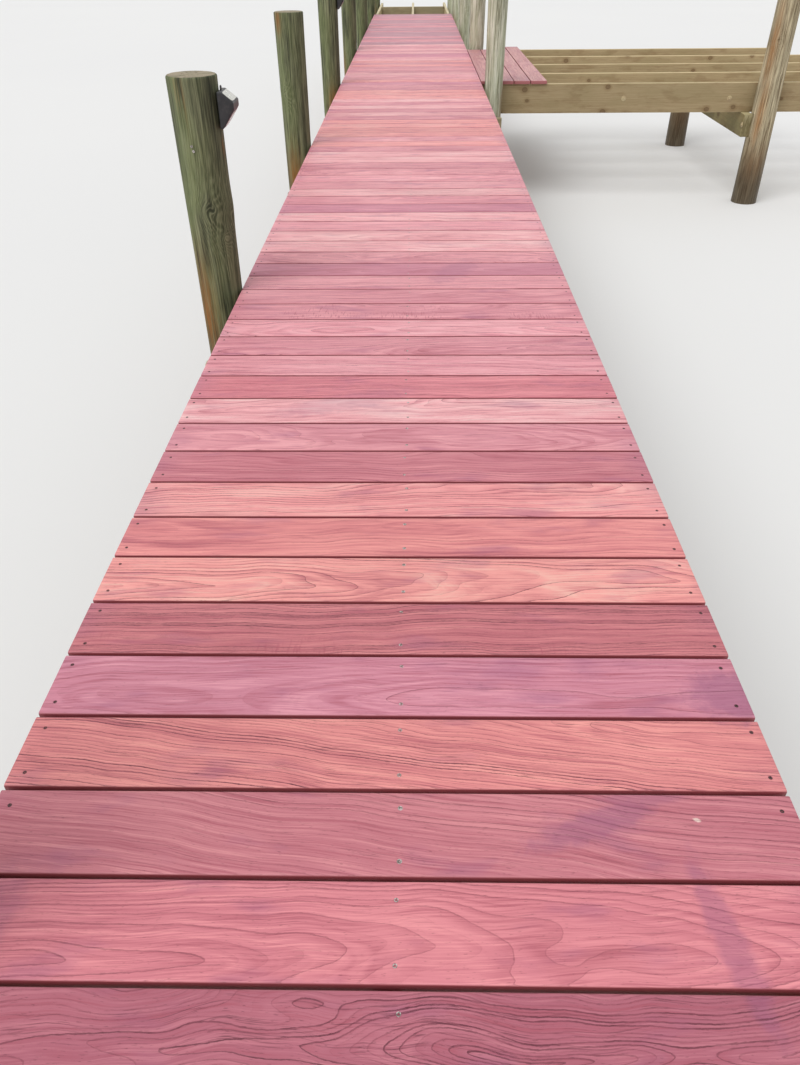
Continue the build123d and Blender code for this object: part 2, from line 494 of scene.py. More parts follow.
class Group(Graph):
    """A shader node group with named inputs and outputs, which several finishes share."""

    def __init__(self, name: str, **labels: str) -> None:
        """Starts the group with its inputs.

        Args:
            name: The group's name.
            **labels: Names of the inputs of each kind: Float, Vector or Color.
        """
        super().__init__(bpy.data.node_groups.new(name, "ShaderNodeTree"))
        for kind, names in labels.items():
            for label in names.split():
                sockets = self.tree.interface
                sockets.new_socket(label, in_out="INPUT", socket_type=f"NodeSocket{kind}")
        entry = self.tree.nodes.new("NodeGroupInput").outputs
        named = {item.name: Signal(self, item) for item in entry if item.name}
        self.given = SimpleNamespace(**named)

    def finished(self, **results: Signal) -> "Group":
        """Ends the group: each result becomes the output of that name.

        Args:
            **results: The outputs.

        Returns:
            The group.
        """
        kinds = {"VALUE": "Float", "VECTOR": "Vector", "RGBA": "Color"}
        for label, value in results.items():
            kind = f"NodeSocket{kinds[value.socket.type]}"
            self.tree.interface.new_socket(label, in_out="OUTPUT", socket_type=kind)
        leave = self.tree.nodes.new("NodeGroupOutput")
        for label, value in results.items():
            self.feed(leave.inputs[label], value)
        return self


class MaterialGraph(Graph):
    """The graph of a material, with its Principled shader."""

    def __init__(self, name: str, **gloss: float) -> None:
        """Starts the material with its shader's constants.

        Args:
            name: The material's name.
            **gloss: Constants of the shader's own inputs, with underscores for spaces.
        """
        self.made = bpy.data.materials.new(name)
        self.made.use_nodes = True
        super().__init__(self.made.node_tree)
        self.inputs = self.tree.nodes["Principled BSDF"].inputs
        for key, value in gloss.items():
            self.inputs[key.replace("_", " ")].default_value = value

    def finished(
        self, colour: Value, roughness: Value, height: Value = 0.0, relief: float = 0.0
    ) -> Material:
        """Feeds the shader.

        Args:
            colour: The base colour.
            roughness: The roughness.
            height: Height of the surface, in shares of the relief.
            relief: Depth of the bumps in metres. None are made if it is 0.

        Returns:
            The finished material.
        """
        self.feed(self.inputs["Base Color"], colour)
        self.feed(self.inputs["Roughness"], roughness)
        if relief:
            bumps = {"Strength": 1.0, "Distance": relief, "Height": height}
            self.feed(self.inputs["Normal"], self.out("ShaderNodeBump", bumps))
        return self.made


def growth_rings_group() -> Group:
    """Growth rings where a saw cut through a log.

    A ring's radius is the distance to the log's heart: the root of across squared plus depth
    squared, where across is measured from the heart's line, and depth grows along the timber
    with the tilt and swells with soft noise. The radius over the spacing counts the rings. Late
    wood darkens towards each ring's end, and a fine line marks it. The radius is also read a
    small step away along, across and down, and the root of the squared slopes in the surface
    keeps loops and straight lines equally fine.

    Returns:
        The group, with the masks late and line, the vector flow, which follows the rings, and
        the vector fibre, which only sways with them.
    """
    floats = "seed skew spacing wobble thickness upward"
    graph = Group("growth_rings", Vector="grain heart", Float=floats)
    given = graph.given
    heart_across, heart_depth, tilt = given.heart.parts()
    shift = given.seed * 17.31
    sway_shift = shift + 5.7

    def radius_at(place: Signal) -> tuple[Signal, Signal]:
        """How far a place in the timber lies from the heart.

        Args:
            place: The place.

        Returns:
            The radius, and the part of it that runs across the timber.
        """
        along, across, up = place.parts()
        swell = place.noise((2.6, 9.0, 9.0), shift, 1.5) - 0.5
        sway = place.noise((3.4, 2.0, 2.0), sway_shift) - 0.5
        depth = swell * given.wobble + (tilt * along + heart_depth - up)
        across = sway * 0.7 * given.wobble + (across - heart_across - given.skew * along)
        return graph.math("SQRT", across**2.0 + depth**2.0), across

    radius, across = radius_at(given.grain)
    step, least_steepness, raggedness = 0.002, 0.02, 0.0028
    slopes = []
    for move in np.eye(3) * step:
        beside, _ = radius_at(graph.vector("ADD", given.grain, tuple(move)))
        slopes.append(((beside - radius) / step) ** 2.0)
    level = slopes[1] * given.upward + slopes[0]
    steepness = graph.math("SQRT", level + slopes[2] * (1.0 - given.upward))
    steepness = steepness.at_least(least_steepness)
    ragged = given.grain.noise((90.0, 210.0, 210.0), shift, 3.0, 0.6) - 0.5
    rings = (radius + ragged * (steepness * raggedness)) / given.spacing
    share = graph.math("FRACT", rings)
    chance = graph.chance(91.7, given.seed, graph.math("FLOOR", rings))
    width = given.thickness * chance.remap(0.6, 1.15)
    from_line = (1.0 - share) * given.spacing / steepness / width
    dash = given.grain.noise((22.0, 60.0, 60.0), shift, 3.0, 0.65).span(0.36, 0.6)
    along, _, up = given.grain.parts()
    return graph.finished(
        late=share.span(0.25, 0.98) * chance.remap(0.3, 1.0),
        line=from_line.span(1.0, 0.55) * (chance**1.8 * dash.remap(0.55, 1.0)),
        flow=graph.combined(along, across * 0.25 + radius, up),
        fibre=graph.combined(along, across, up),
    )


def fibres_group() -> Group:
    """Fibres and pores along a timber: noise stretched many times longer than it is wide.

    Returns:
        The group, with streak from 0 to 1, the masks pore, dash and saw, and height for a bump.
    """
    graph = Group("wood_fibres", Vector="flow fibre", Float="seed")
    fibre, shift = graph.given.fibre, graph.given.seed * 23.9
    fine = fibre.noise((9.0, 420.0, 420.0), shift, 3.0, 0.6)
    broad = graph.given.flow.noise((2.5, 95.0, 95.0), shift, 3.0, 0.6)
    streak = fine * 0.5 + broad * 0.5
    pore = fibre.noise((95.0, 900.0, 900.0), shift).span(0.66, 0.76)
    other = shift + 77.0
    dash = fibre.noise((15.0, 520.0, 520.0), other, 3.0, 0.6).span(0.57, 0.66)
    crowd = fibre.noise((3.0, 30.0, 30.0), other).span(0.44, 0.62)
    tick = fibre.noise((210.0, 26.0, 26.0), other, 2.0, 0.6).span(0.52, 0.68)
    patch = fibre.noise((3.2, 9.0, 9.0), shift + 51.0).span(0.5, 0.66)
    height = streak - pore * 0.6
    return graph.finished(
        streak=streak, pore=pore, dash=dash * crowd, saw=tick * patch, height=height
    )


def blotches_group() -> Group:
    """Soft uneven patches, longer along the timber than across it.

    Returns:
        The group, with broad and small, both from 0 to 1.
    """
    graph = Group("soft_blotches", Vector="grain", Float="seed")
    grain, shift = graph.given.grain, graph.given.seed * 31.3
    return graph.finished(
        broad=grain.noise((2.2, 7.0, 7.0), shift),
        small=grain.noise((5.0, 14.0, 14.0), shift + 41.0, 3.0, 0.55),
    )


def worn_edges_group() -> Group:
    """Wear along the arrises: the edge mask, broken up by noise, mixes in the worn colour.

    Returns:
        The group, with the colour.
    """
    graph = Group("worn_edges", Color="colour worn_colour", Float="edge amount", Vector="grain")
    given = graph.given
    patch = given.grain.noise((14.0, 60.0, 60.0), (3.3,) * 3, 3.0, 0.6).span(0.3, 0.62)
    worn = given.edge * patch * given.amount
    return graph.finished(colour=graph.coats(given.colour, (worn, given.worn_colour)))


def pine_knots_group() -> Group:
    """Knots on the faces of sawn pine: cells of a flat pattern, some of them drawn.

    Each has its own size, and its eye, rim and halo follow the distance to the cell's point.

    Returns:
        The group, with the masks halo, eye and rim.
    """
    graph = Group("pine_knots", Vector="grain", Float="seed streak")
    given = graph.given
    along, across, up = given.grain.stretched((4.4, 5.6, 5.6), given.seed * 11.7).parts()
    inputs = {"Vector": graph.combined(along, across + up), "Scale": 1.0, "Randomness": 0.9}
    cells = graph.node("ShaderNodeTexVoronoi", inputs, voronoi_dimensions="2D").outputs
    drawn, size, _ = Signal(graph, cells["Color"]).parts()
    drawn = drawn.span(0.58, 0.62)
    near = Signal(graph, cells["Distance"]) * size.remap(0.75, 1.9) + given.streak * 0.05
    return graph.finished(
        halo=near.span(0.34, 0.14) * (drawn * 0.4),
        eye=near.span(0.13, 0.09) * drawn * 0.45,
        rim=near.span(0.16, 0.13) * near.span(0.1, 0.13) * drawn * 0.75,
    )


def peeled_log_group(
    lines_round: int = 46,
    flame_lines: float = 5.5,
    knot_rings: float = 7.5,
    top_rings: float = 190.0,
    top_cracks: int = 7,
) -> Group:
    """Streaks and lines down a peeled log, and the rings and cracks of its sawn top.

    The flow value is a point on the log whose angle is bent around the knots, so that what is
    drawn by that angle runs round them as the real fibres do. The sawn top has rings by the
    distance from its middle, and cracks by the angle.

    Args:
        lines_round: How many lines go round the log.
        flame_lines: How far soft noise shifts the lines, in lines.
        knot_rings: How many rings a knot has.
        top_rings: How many rings the top has to the metre.
        top_cracks: How many cracks the top has.

    Returns:
        The group, with the noises streak, broad, fine and patch, the uneven height foot, and the
        masks line, groove, rings and crack.
    """
    graph = Group("peeled_log", Vector="flow grain", Float="seed knot")
    flow, grain, knot = graph.given.flow, graph.given.grain, graph.given.knot
    shift = graph.given.seed * 13.7
    x, y, height = flow.parts()
    streak = flow.noise((135.0, 135.0, 4.2), shift, 4.0, 0.68)
    patch = flow.noise((12.0, 12.0, 3.4), shift, 3.0, 0.55)
    flame = flow.noise((12.0, 12.0, 1.7), shift + 9.0, 2.5)
    turns = graph.math("ARCTAN2", y, x) * (lines_round / FULL_TURN)
    turns = turns + flame * flame_lines + knot * knot_rings + streak * 2.4
    chance = graph.chance(71.3, graph.given.seed, graph.math("FLOOR", turns))
    crest = 1.0 - graph.math("ABSOLUTE", graph.math("FRACT", turns) * 2.0 - 1.0)
    strength = patch.span(0.36, 0.6).remap(0.1, 0.7) * chance.remap(0.2, 1.0)
    strength = strength.at_least(knot * 0.95)
    top_x, top_y, _ = grain.parts()
    from_middle = graph.math("SQRT", top_x**2.0 + top_y**2.0)
    swirl = grain.noise((30.0, 30.0, 0.0), shift)
    rings = graph.math("FRACT", from_middle * top_rings + swirl * 2.5)
    cracks = graph.math("ARCTAN2", top_y, top_x) * (top_cracks / FULL_TURN) + swirl * 2.2
    crack = graph.math("ABSOLUTE", graph.math("FRACT", cracks) - 0.5).span(0.05, 0.0)
    return graph.finished(
        streak=streak,
        broad=flow.noise((58.0, 58.0, 2.4), shift, 3.0, 0.55),
        fine=flow.noise((420.0, 420.0, 8.0), shift, 2.0, 0.6),
        patch=patch,
        foot=flow.noise((20.0, 20.0, 3.0), shift, 3.0) * 0.22 + height,
        line=crest.span(0.45, 0.85) * strength,
        groove=crest.span(0.42, 0.05) * strength,
        rings=rings.span(0.5, 0.95) * 0.35,
        crack=crack * from_middle.span(0.012, 0.03),
    )


def metal_wear_group() -> Group:
    """Dull patches, rust and scratches on small steel parts.

    Returns:
        The group, with patches, rust and scratches, each from 0 to 1.
    """
    graph = Group("metal_wear", Vector="place")
    place = graph.given.place
    return graph.finished(
        patches=place.noise((260.0,) * 3, detail=3.0, rough=0.6),
        rust=place.noise((9.0,) * 3).span(0.48, 0.66),
        scratches=place.noise((900.0,) * 3),
    )


def panel_group() -> Group:
    """Lines across a glazed panel, where the place over the pitch is whole, and soft spots.

    Returns:
        The group, with the mask bar, and spots from 0 to 1.
    """
    graph = Group("glazed_panel", Vector="place", Float="pitch share")
    place, pitch, share = graph.given.place, graph.given.pitch, graph.given.share
    parts = [graph.math("FRACT", part / pitch) for part in place.parts()[:2]]
    bars = [part.span(share * 1.5, share) for part in parts]
    spots = place.noise((70.0,) * 3, detail=4.0, rough=0.65)
    return graph.finished(bar=bars[0].at_least(bars[1]), spots=spots)


class Effects:
    """The groups that finishes share. Each is built once, and placed in each material that uses it.
    """

    def __init__(self) -> None:
        """Builds the groups."""
        self.rings, self.fibres = growth_rings_group(), fibres_group()
        self.blotches, self.edges = blotches_group(), worn_edges_group()
        self.knots, self.log = pine_knots_group(), peeled_log_group()
        self.metal, self.panel = metal_wear_group(), panel_group()

    def marks(self, graph: Graph, wobble: float, thickness: float) -> SimpleNamespace:
        """Places a sawn timber's rings, fibres and blotches in a finish.

        Args:
            graph: The finish.
            wobble: How far noise bends the rings, in metres.
            thickness: Width of the rings' lines.

        Returns:
            Every mask and vector by name, with the timber's grain and seed.
        """
        grain, seed = graph.named("grain", "Vector"), graph.named("seed")
        heart = graph.named("heart", "Color")
        read = {name: graph.named(name) for name in ("skew", "spacing")}
        read.update(thickness=thickness, wobble=graph.named("swell") * wobble)
        upward = graph.named("top_face")
        rings = graph.group(self.rings, grain=grain, heart=heart, seed=seed, upward=upward, **read)
        fibres = graph.group(self.fibres, flow=rings.flow, fibre=rings.fibre, seed=seed)
        blotches = graph.group(self.blotches, grain=grain, seed=seed)
        found = vars(rings) | vars(fibres) | vars(blotches)
        return SimpleNamespace(grain=grain, seed=seed, **found)

    def worn(self, graph: Graph, colour: Signal, worn_colour: Colour, amount: float) -> Signal:
        """Wears the arrises of a finish.

        Args:
            graph: The finish.
            colour: Its colour.
            worn_colour: Colour of the worn wood.
            amount: The wear, from 0 to 1.

        Returns:
            The worn colour.
        """
        grain, edge = graph.named("grain", "Vector"), graph.named("arris")
        inputs = {"colour": colour, "worn_colour": worn_colour, "edge": edge, "grain": grain}
        return graph.group(self.edges, amount=amount, **inputs).colour


# Finishes


class Tone(Enum):
    """Colours of the stained hardwood boards."""

    PLUM = shade(182, 104, 121)
    ROSE = shade(221, 133, 144)
    WINE = shade(205, 126, 137)
    SALMON = shade(230, 143, 143)
    MAUVE = shade(214, 139, 158)
    MAROON = shade(204, 121, 128)
    ORANGE = shade(250, 167, 161)
    CORAL = shade(246, 162, 162)
    DUSTY = shade(223, 149, 160)
    PINK = shade(238, 162, 172)
    PALE = shade(249, 179, 184)
    HEATHER = shade(194, 143, 156)
    FADED = shade(204, 152, 151)
    RUSSET = shade(196, 143, 142)


@dataclass(frozen=True)
class Spill:
    """A faint mark on the deck: its middle, half length, half width, turn in degrees and share."""

    x: float
    y: float
    reach: float
    spread: float
    turn: float
    share: float


@dataclass(frozen=True)
class DeckFinish:
    """Red hardwood, sanded and stained: each board brings its own tone and rings."""

    line: Colour = shade(92, 34, 50)
    late: Colour = shade(172, 84, 100)
    # Colour of the lighter arrises: partly worn wood, partly a painted highlight
    light: Colour = shade(252, 190, 190)
    stain: Colour = shade(148, 88, 126)
    # Colour of the board sides in the gaps: their own darker wood, with painted shade of the gaps
    gap_side_painted_shade: Colour = shade(138, 60, 66)
    # Colour of the board ends: darker end grain, with painted shade under the ends
    end_face_with_painted_shade: Colour = shade(186, 120, 120)
    chip: Colour = shade(250, 226, 214)
    # How far the tone is lightened into the pale of the patches and streaks; the broad patches are
    # partly painted sheen
    lift: tuple = (1.25, 1.42, 1.3)
    roughness: float = 0.52
    relief: float = 0.0005
    ring_thickness: float = 0.002
    ring_wobble: float = 0.07
    spills: tuple[Spill, ...] = (
        Spill(-1.43, -8.542, 0.12, 0.024, 22, 0.45),
        Spill(-1.289, -8.72, 0.12, 0.022, 100, 0.38),
        Spill(-1.15, -8.29, 0.08, 0.06, 0, 0.55),
        Spill(-1.36, -8.50, 0.07, 0.014, 4, 0.35),
        Spill(-2.3, -8.71, 0.09, 0.05, 70, 0.3),
        Spill(-1.9, -7.2, 0.2, 0.05, 20, 0.25),
        Spill(-1.55, -6.1, 0.16, 0.06, 60, 0.25),
    )
    chips: tuple[Spill, ...] = (Spill(-1.2834, -8.537, 0.0055, 0.0034, -20, 0.8),)

    def marked(self, graph: Graph, spills: tuple[Spill, ...], raggedness: float) -> Value:
        """The mask of some marks: ellipses whose edges soft noise breaks up.

        Args:
            graph: The finish.
            spills: The marks.
            raggedness: Scale of the noise.

        Returns:
            The mask.
        """
        place = graph.vector("MULTIPLY", graph.place(), (1.0, 1.0, 0.0))
        ragged = place.noise((raggedness,) * 3, detail=3.0, rough=0.6) - 0.5
        masks = []
        for spill in spills:
            inputs = {
                "Vector": place,
                "Location": (spill.x, spill.y, 0.0),
                "Rotation": (0.0, 0.0, math.radians(spill.turn)),
                "Scale": (spill.reach, spill.spread, 1.0),
            }
            own = graph.out("ShaderNodeMapping", inputs, vector_type="TEXTURE")
            distance = graph.out("ShaderNodeVectorMath", {0: own}, "Value", operation="LENGTH")
            mask = (ragged * 1.1 + distance).span(1.3, 0.6) * spill.share
            masks.append(mask.at_least(masks[-1]) if masks else mask)
        return masks[-1]

    def material(self, effects: Effects) -> Material:
        """The finish as a material.

        Args:
            effects: The shared groups.

        Returns:
            The material.
        """
        graph = MaterialGraph("deck_board_finish", Specular_IOR_Level=0.42)
        marks = effects.marks(graph, self.ring_wobble, self.ring_thickness)
        along, _, up = marks.grain.parts()
        tone, bold = graph.named("tone", "Color"), graph.named("bold")
        pale = graph.vector("MINIMUM", graph.vector("MULTIPLY", tone, self.lift), (0.97,) * 3)
        near_ends = graph.math("ABSOLUTE", along).span(0.52, 0.62) * marks.broad.span(0.45, 0.65)
        colour = graph.coats(
            tone,
            # Broad pale patches: partly lighter wood, partly a painted sheen of the sky on the
            # boards
            (marks.broad.span(0.48, 0.72) * 0.5, pale),
            (marks.late * 0.4, self.late),
            (marks.streak.span(0.5, 0.36) * 0.62, self.late),
            (marks.streak.span(0.5, 0.64) * 0.95, pale),
            (marks.small.span(0.55, 0.74) * 0.34, self.stain),
            (near_ends * 0.3, self.stain),
            (self.marked(graph, self.spills, 38.0), self.stain),
            (self.marked(graph, self.chips, 320.0), self.chip),
            (marks.pore * 0.4, self.line),
            (marks.dash * bold.remap(0.1, 0.62), self.line),
            (marks.line * bold, self.line),
            (marks.saw * graph.named("sawn_marks"), self.late),
        )
        colour = graph.coats(
            # The arrises lighten: partly worn wood, partly a painted highlight along them
            effects.worn(graph, colour, self.light, 0.12),
            # Painted shade: the board sides darken from just below the top, over their own darker
            # wood
            (up.span(-0.0001, -0.0026) * 0.96, self.gap_side_painted_shade),
            # The board ends: their own darker end grain, darkened further as painted shade
            (graph.named("end_wood") * 0.55, self.end_face_with_painted_shade),
        )
        roughness = marks.small * 0.22 + (self.roughness - 0.11)
        return graph.finished(colour, roughness, marks.height - marks.line * 0.9, self.relief)


@dataclass(frozen=True)
class PineFinish:
    """Treated pine, sawn: growth rings, knots, lighter top edges (sun-bleached, and painted light
    from above) and a treatment tint.
    """

    name: str
    face: Colour
    late: Colour
    line: Colour
    pale: Colour
    tint: Colour
    knot: Colour = shade(92, 62, 38)
    tint_share: float = 0.3
    dull_share: float = 0.3
    roughness: float = 0.72
    relief: float = 0.0008
    ring_thickness: float = 0.003
    ring_wobble: float = 0.02
    end_grain_and_painted_shade: float = 0.5
    wear: float = 0.6

    def material(self, effects: Effects) -> Material:
        """The finish as a material.

        Args:
            effects: The shared groups.

        Returns:
            The material.
        """
        graph = MaterialGraph(self.name, Specular_IOR_Level=0.3)
        marks = effects.marks(graph, self.ring_wobble, self.ring_thickness)
        own = {"grain": marks.grain, "seed": marks.seed, "streak": marks.streak}
        knots = graph.group(effects.knots, **own)
        colour = graph.coats(
            self.face,
            (marks.late * 0.42, self.late),
            (marks.line * 0.4, self.line),
            (marks.streak.span(0.55, 0.3) * 0.4, self.line),
            (marks.dash * 0.3, self.line),
            (marks.broad.span(0.4, 0.65) * self.tint_share, self.tint),
            (marks.small.span(0.5, 0.34) * self.dull_share, self.line),
            # Lighter top faces: partly sun bleaching, partly painted light falling from above
            (graph.named("top_face") * marks.small.span(0.3, 0.6).remap(0.55, 0.95), self.pale),
            (knots.halo, self.line),
            (knots.eye, self.knot),
            (knots.rim, self.knot),
            # End faces darken: darker end grain, and on the caps painted shade as well
            (graph.named("end_wood") * self.end_grain_and_painted_shade, self.line),
        )
        colour = graph.coats(colour, (1.0, graph.named("tone", "Color")), blend="MULTIPLY")
        colour = effects.worn(graph, colour, self.pale, self.wear)
        roughness = marks.small * 0.2 + (self.roughness - 0.1)
        return graph.finished(colour, roughness, marks.height - marks.line * 0.4, self.relief)


@dataclass(frozen=True)
class PileFinish:
    """Peeled round pine: streaks that flow around the knots, green tint, brown stains, painted
    shade on one side, sawn top.
    """

    name: str
    body: Colour
    pale: Colour
    dark: Colour
    green: Colour
    brown: Colour = shade(124, 84, 48)
    sawn: Colour = shade(168, 158, 136)
    wet: Colour = shade(66, 54, 38)
    green_share: float = 0.55
    brown_share: float = 0.5
    side_shade: float = 0.4
    wet_from: float = 0.36
    wet_to: float = 0.14
    roughness: float = 0.78
    relief: float = 0.0022
    line_share: float = 0.5

    def material(self, effects: Effects) -> Material:
        """The finish as a material.

        Args:
            effects: The shared groups.

        Returns:
            The material.
        """
        graph = MaterialGraph(self.name, Specular_IOR_Level=0.28)
        names = ("seed", "knot", "knot_eye", "sawn", "stain", "weather")
        seed, knot, eye, sawn, stain, weather = (graph.named(name) for name in names)
        ways = {name: graph.named(name, "Vector") for name in ("flow", "grain")}
        marks = graph.group(effects.log, seed=seed, knot=knot, **ways)
        streak, patch = marks.streak, marks.patch
        wet = marks.foot.span(self.wet_from, self.wet_to)
        # Green tint, stronger towards the lit side: partly its own green, partly painted light
        green = patch.span(0.4, 0.62) * self.green_share * weather.remap(0.35, 1.0)
        stray = streak.span(0.62, 0.72) * patch.span(0.55, 0.42)
        colour = graph.coats(
            self.dark,
            (streak.span(0.41, 0.57), self.body),
            (marks.broad.span(0.46, 0.64) * 0.75, self.pale),
            (green, self.green),
            # Painted shade on the side away from the light
            (weather.span(0.8, 0.3) * self.side_shade, self.dark),
            (marks.groove * (self.line_share * 0.8), self.dark),
            (marks.line * self.line_share, self.pale),
            (stain * streak.span(0.4, 0.54).remap(0.4, 1.0), self.brown),
            (marks.fine.span(0.5, 0.32) * 0.5, self.dark),
            (marks.fine.span(0.52, 0.68) * 0.35, self.pale),
            (stray * self.brown_share, self.brown),
            (eye * 0.6, self.dark),
            (wet * 0.8, self.wet),
        )
        top = graph.coats(
            self.sawn,
            (marks.rings, self.brown),
            (patch.span(0.4, 0.62) * 0.4, self.body),
            (marks.crack * 0.75, self.dark),
        )
        side_height = streak * 0.9 + marks.fine * 0.35 + marks.line * 0.4
        top_height = 0.5 - (marks.crack + marks.rings * 0.5)
        height = side_height * (1.0 - sawn) + top_height * sawn
        roughness = self.roughness - wet * 0.3
        return graph.finished(graph.coats(colour, (sawn, top)), roughness, height, self.relief)


@dataclass(frozen=True)
class SteelFinish:
    """Screw and bolt metal: small scratches, with rust or dullness in patches."""

    name: str
    bright: Colour = shade(206, 200, 196)
    dull: Colour = shade(122, 116, 110)
    rust: Colour = shade(122, 76, 48)
    rust_share: float = 0.3
    metallic: float = 0.85
    relief: float = 0.0002

    def material(self, effects: Effects) -> Material:
        """The finish as a material.

        Args:
            effects: The shared groups.

        Returns:
            The material.
        """
        graph = MaterialGraph(self.name, Metallic=self.metallic)
        wear = graph.group(effects.metal, place=graph.place())
        dull, rust = wear.patches.span(0.4, 0.62), wear.rust * self.rust_share
        colour = graph.coats(self.bright, (dull, self.dull), (rust, self.rust))
        return graph.finished(colour, wear.patches.remap(0.28, 0.55), wear.scratches, self.relief)


@dataclass(frozen=True)
class HousingFinish:
    """Moulded black plastic with a fine grain, dusty and faded where the weather reaches it."""

    fresh: Colour = shade(30, 30, 33)
    faded: Colour = shade(62, 60, 60)
    roughness: float = 0.42
    relief: float = 0.0001

    def material(self) -> Material:
        """The finish as a material.

        Returns:
            The material.
        """
        graph = MaterialGraph("light_housing_finish", Specular_IOR_Level=0.5)
        dust = graph.place().noise((38.0,) * 3, detail=4.0, rough=0.6)
        colour = graph.coats(self.fresh, (dust.span(0.45, 0.7) * 0.6, self.faded))
        roughness = dust.remap(self.roughness - 0.1, self.roughness + 0.16)
        return graph.finished(colour, roughness, graph.place().noise((1400.0,) * 3), self.relief)


@dataclass(frozen=True)
class GlazingFinish:
    """A glossy clear cover over a cell or a lamp, with a faint grid of lines and soft spots."""

    name: str
    ground: Colour
    bar: Colour
    pitch: float
    bar_share: float
    roughness: float = 0.16

    def material(self, effects: Effects) -> Material:
        """The finish as a material.

        Args:
            effects: The shared groups.

        Returns:
            The material.
        """
        gloss = {"Specular_IOR_Level": 0.6, "Coat_Roughness": 0.08, "Coat_Weight": 0.6}
        graph = MaterialGraph(self.name, **gloss)
        sizes = {"pitch": self.pitch, "share": self.bar_share}
        panel = graph.group(effects.panel, place=graph.named("panel", "Vector"), **sizes)
        bar, stained = panel.bar * 0.7, panel.spots.span(0.4, 0.7) * 0.5
        colour = graph.coats(self.ground, (bar, self.bar), (stained, self.bar))
        return graph.finished(colour, panel.spots.remap(self.roughness, self.roughness + 0.2))


# Sawn timbers


@dataclass(frozen=True)
class LogPlace:
    """Where a timber lay in its log: the heart's distance across, depth below, tilt and skew.

    The swell says how strongly soft noise bends the rings, as a share of the finish's wobble.
    """

    across: float
    depth: float
    tilt: float
    skew: float = 0.0
    swell: float = 1.0

    @classmethod
    def by_chance(
        cls, rng: np.random.Generator, width: float, on_edge: bool = False
    ) -> "LogPlace":
        """A place by chance: mostly beside the heart, sometimes right above it.

        Args:
            rng: Source of the choice.
            width: The timber's width.
            on_edge: Whether the timber's wide faces are upright.

        Returns:
            The place.
        """
        across = rng.uniform(0.6, 1.6) if rng.random() < 0.6 else rng.uniform(-0.35, 0.35)
        depth = rng.uniform(0.03, 0.1)
        tilt = rng.choice([-1, 1]) * rng.uniform(0.01, 0.07)
        skew = rng.uniform(-0.05, 0.05)
        side = rng.choice([-1, 1])
        if on_edge:
            return cls(side * 0.07, abs(across) * width, tilt * 0.4, skew * 0.2)
        return cls(across * width * side, depth, tilt, skew)


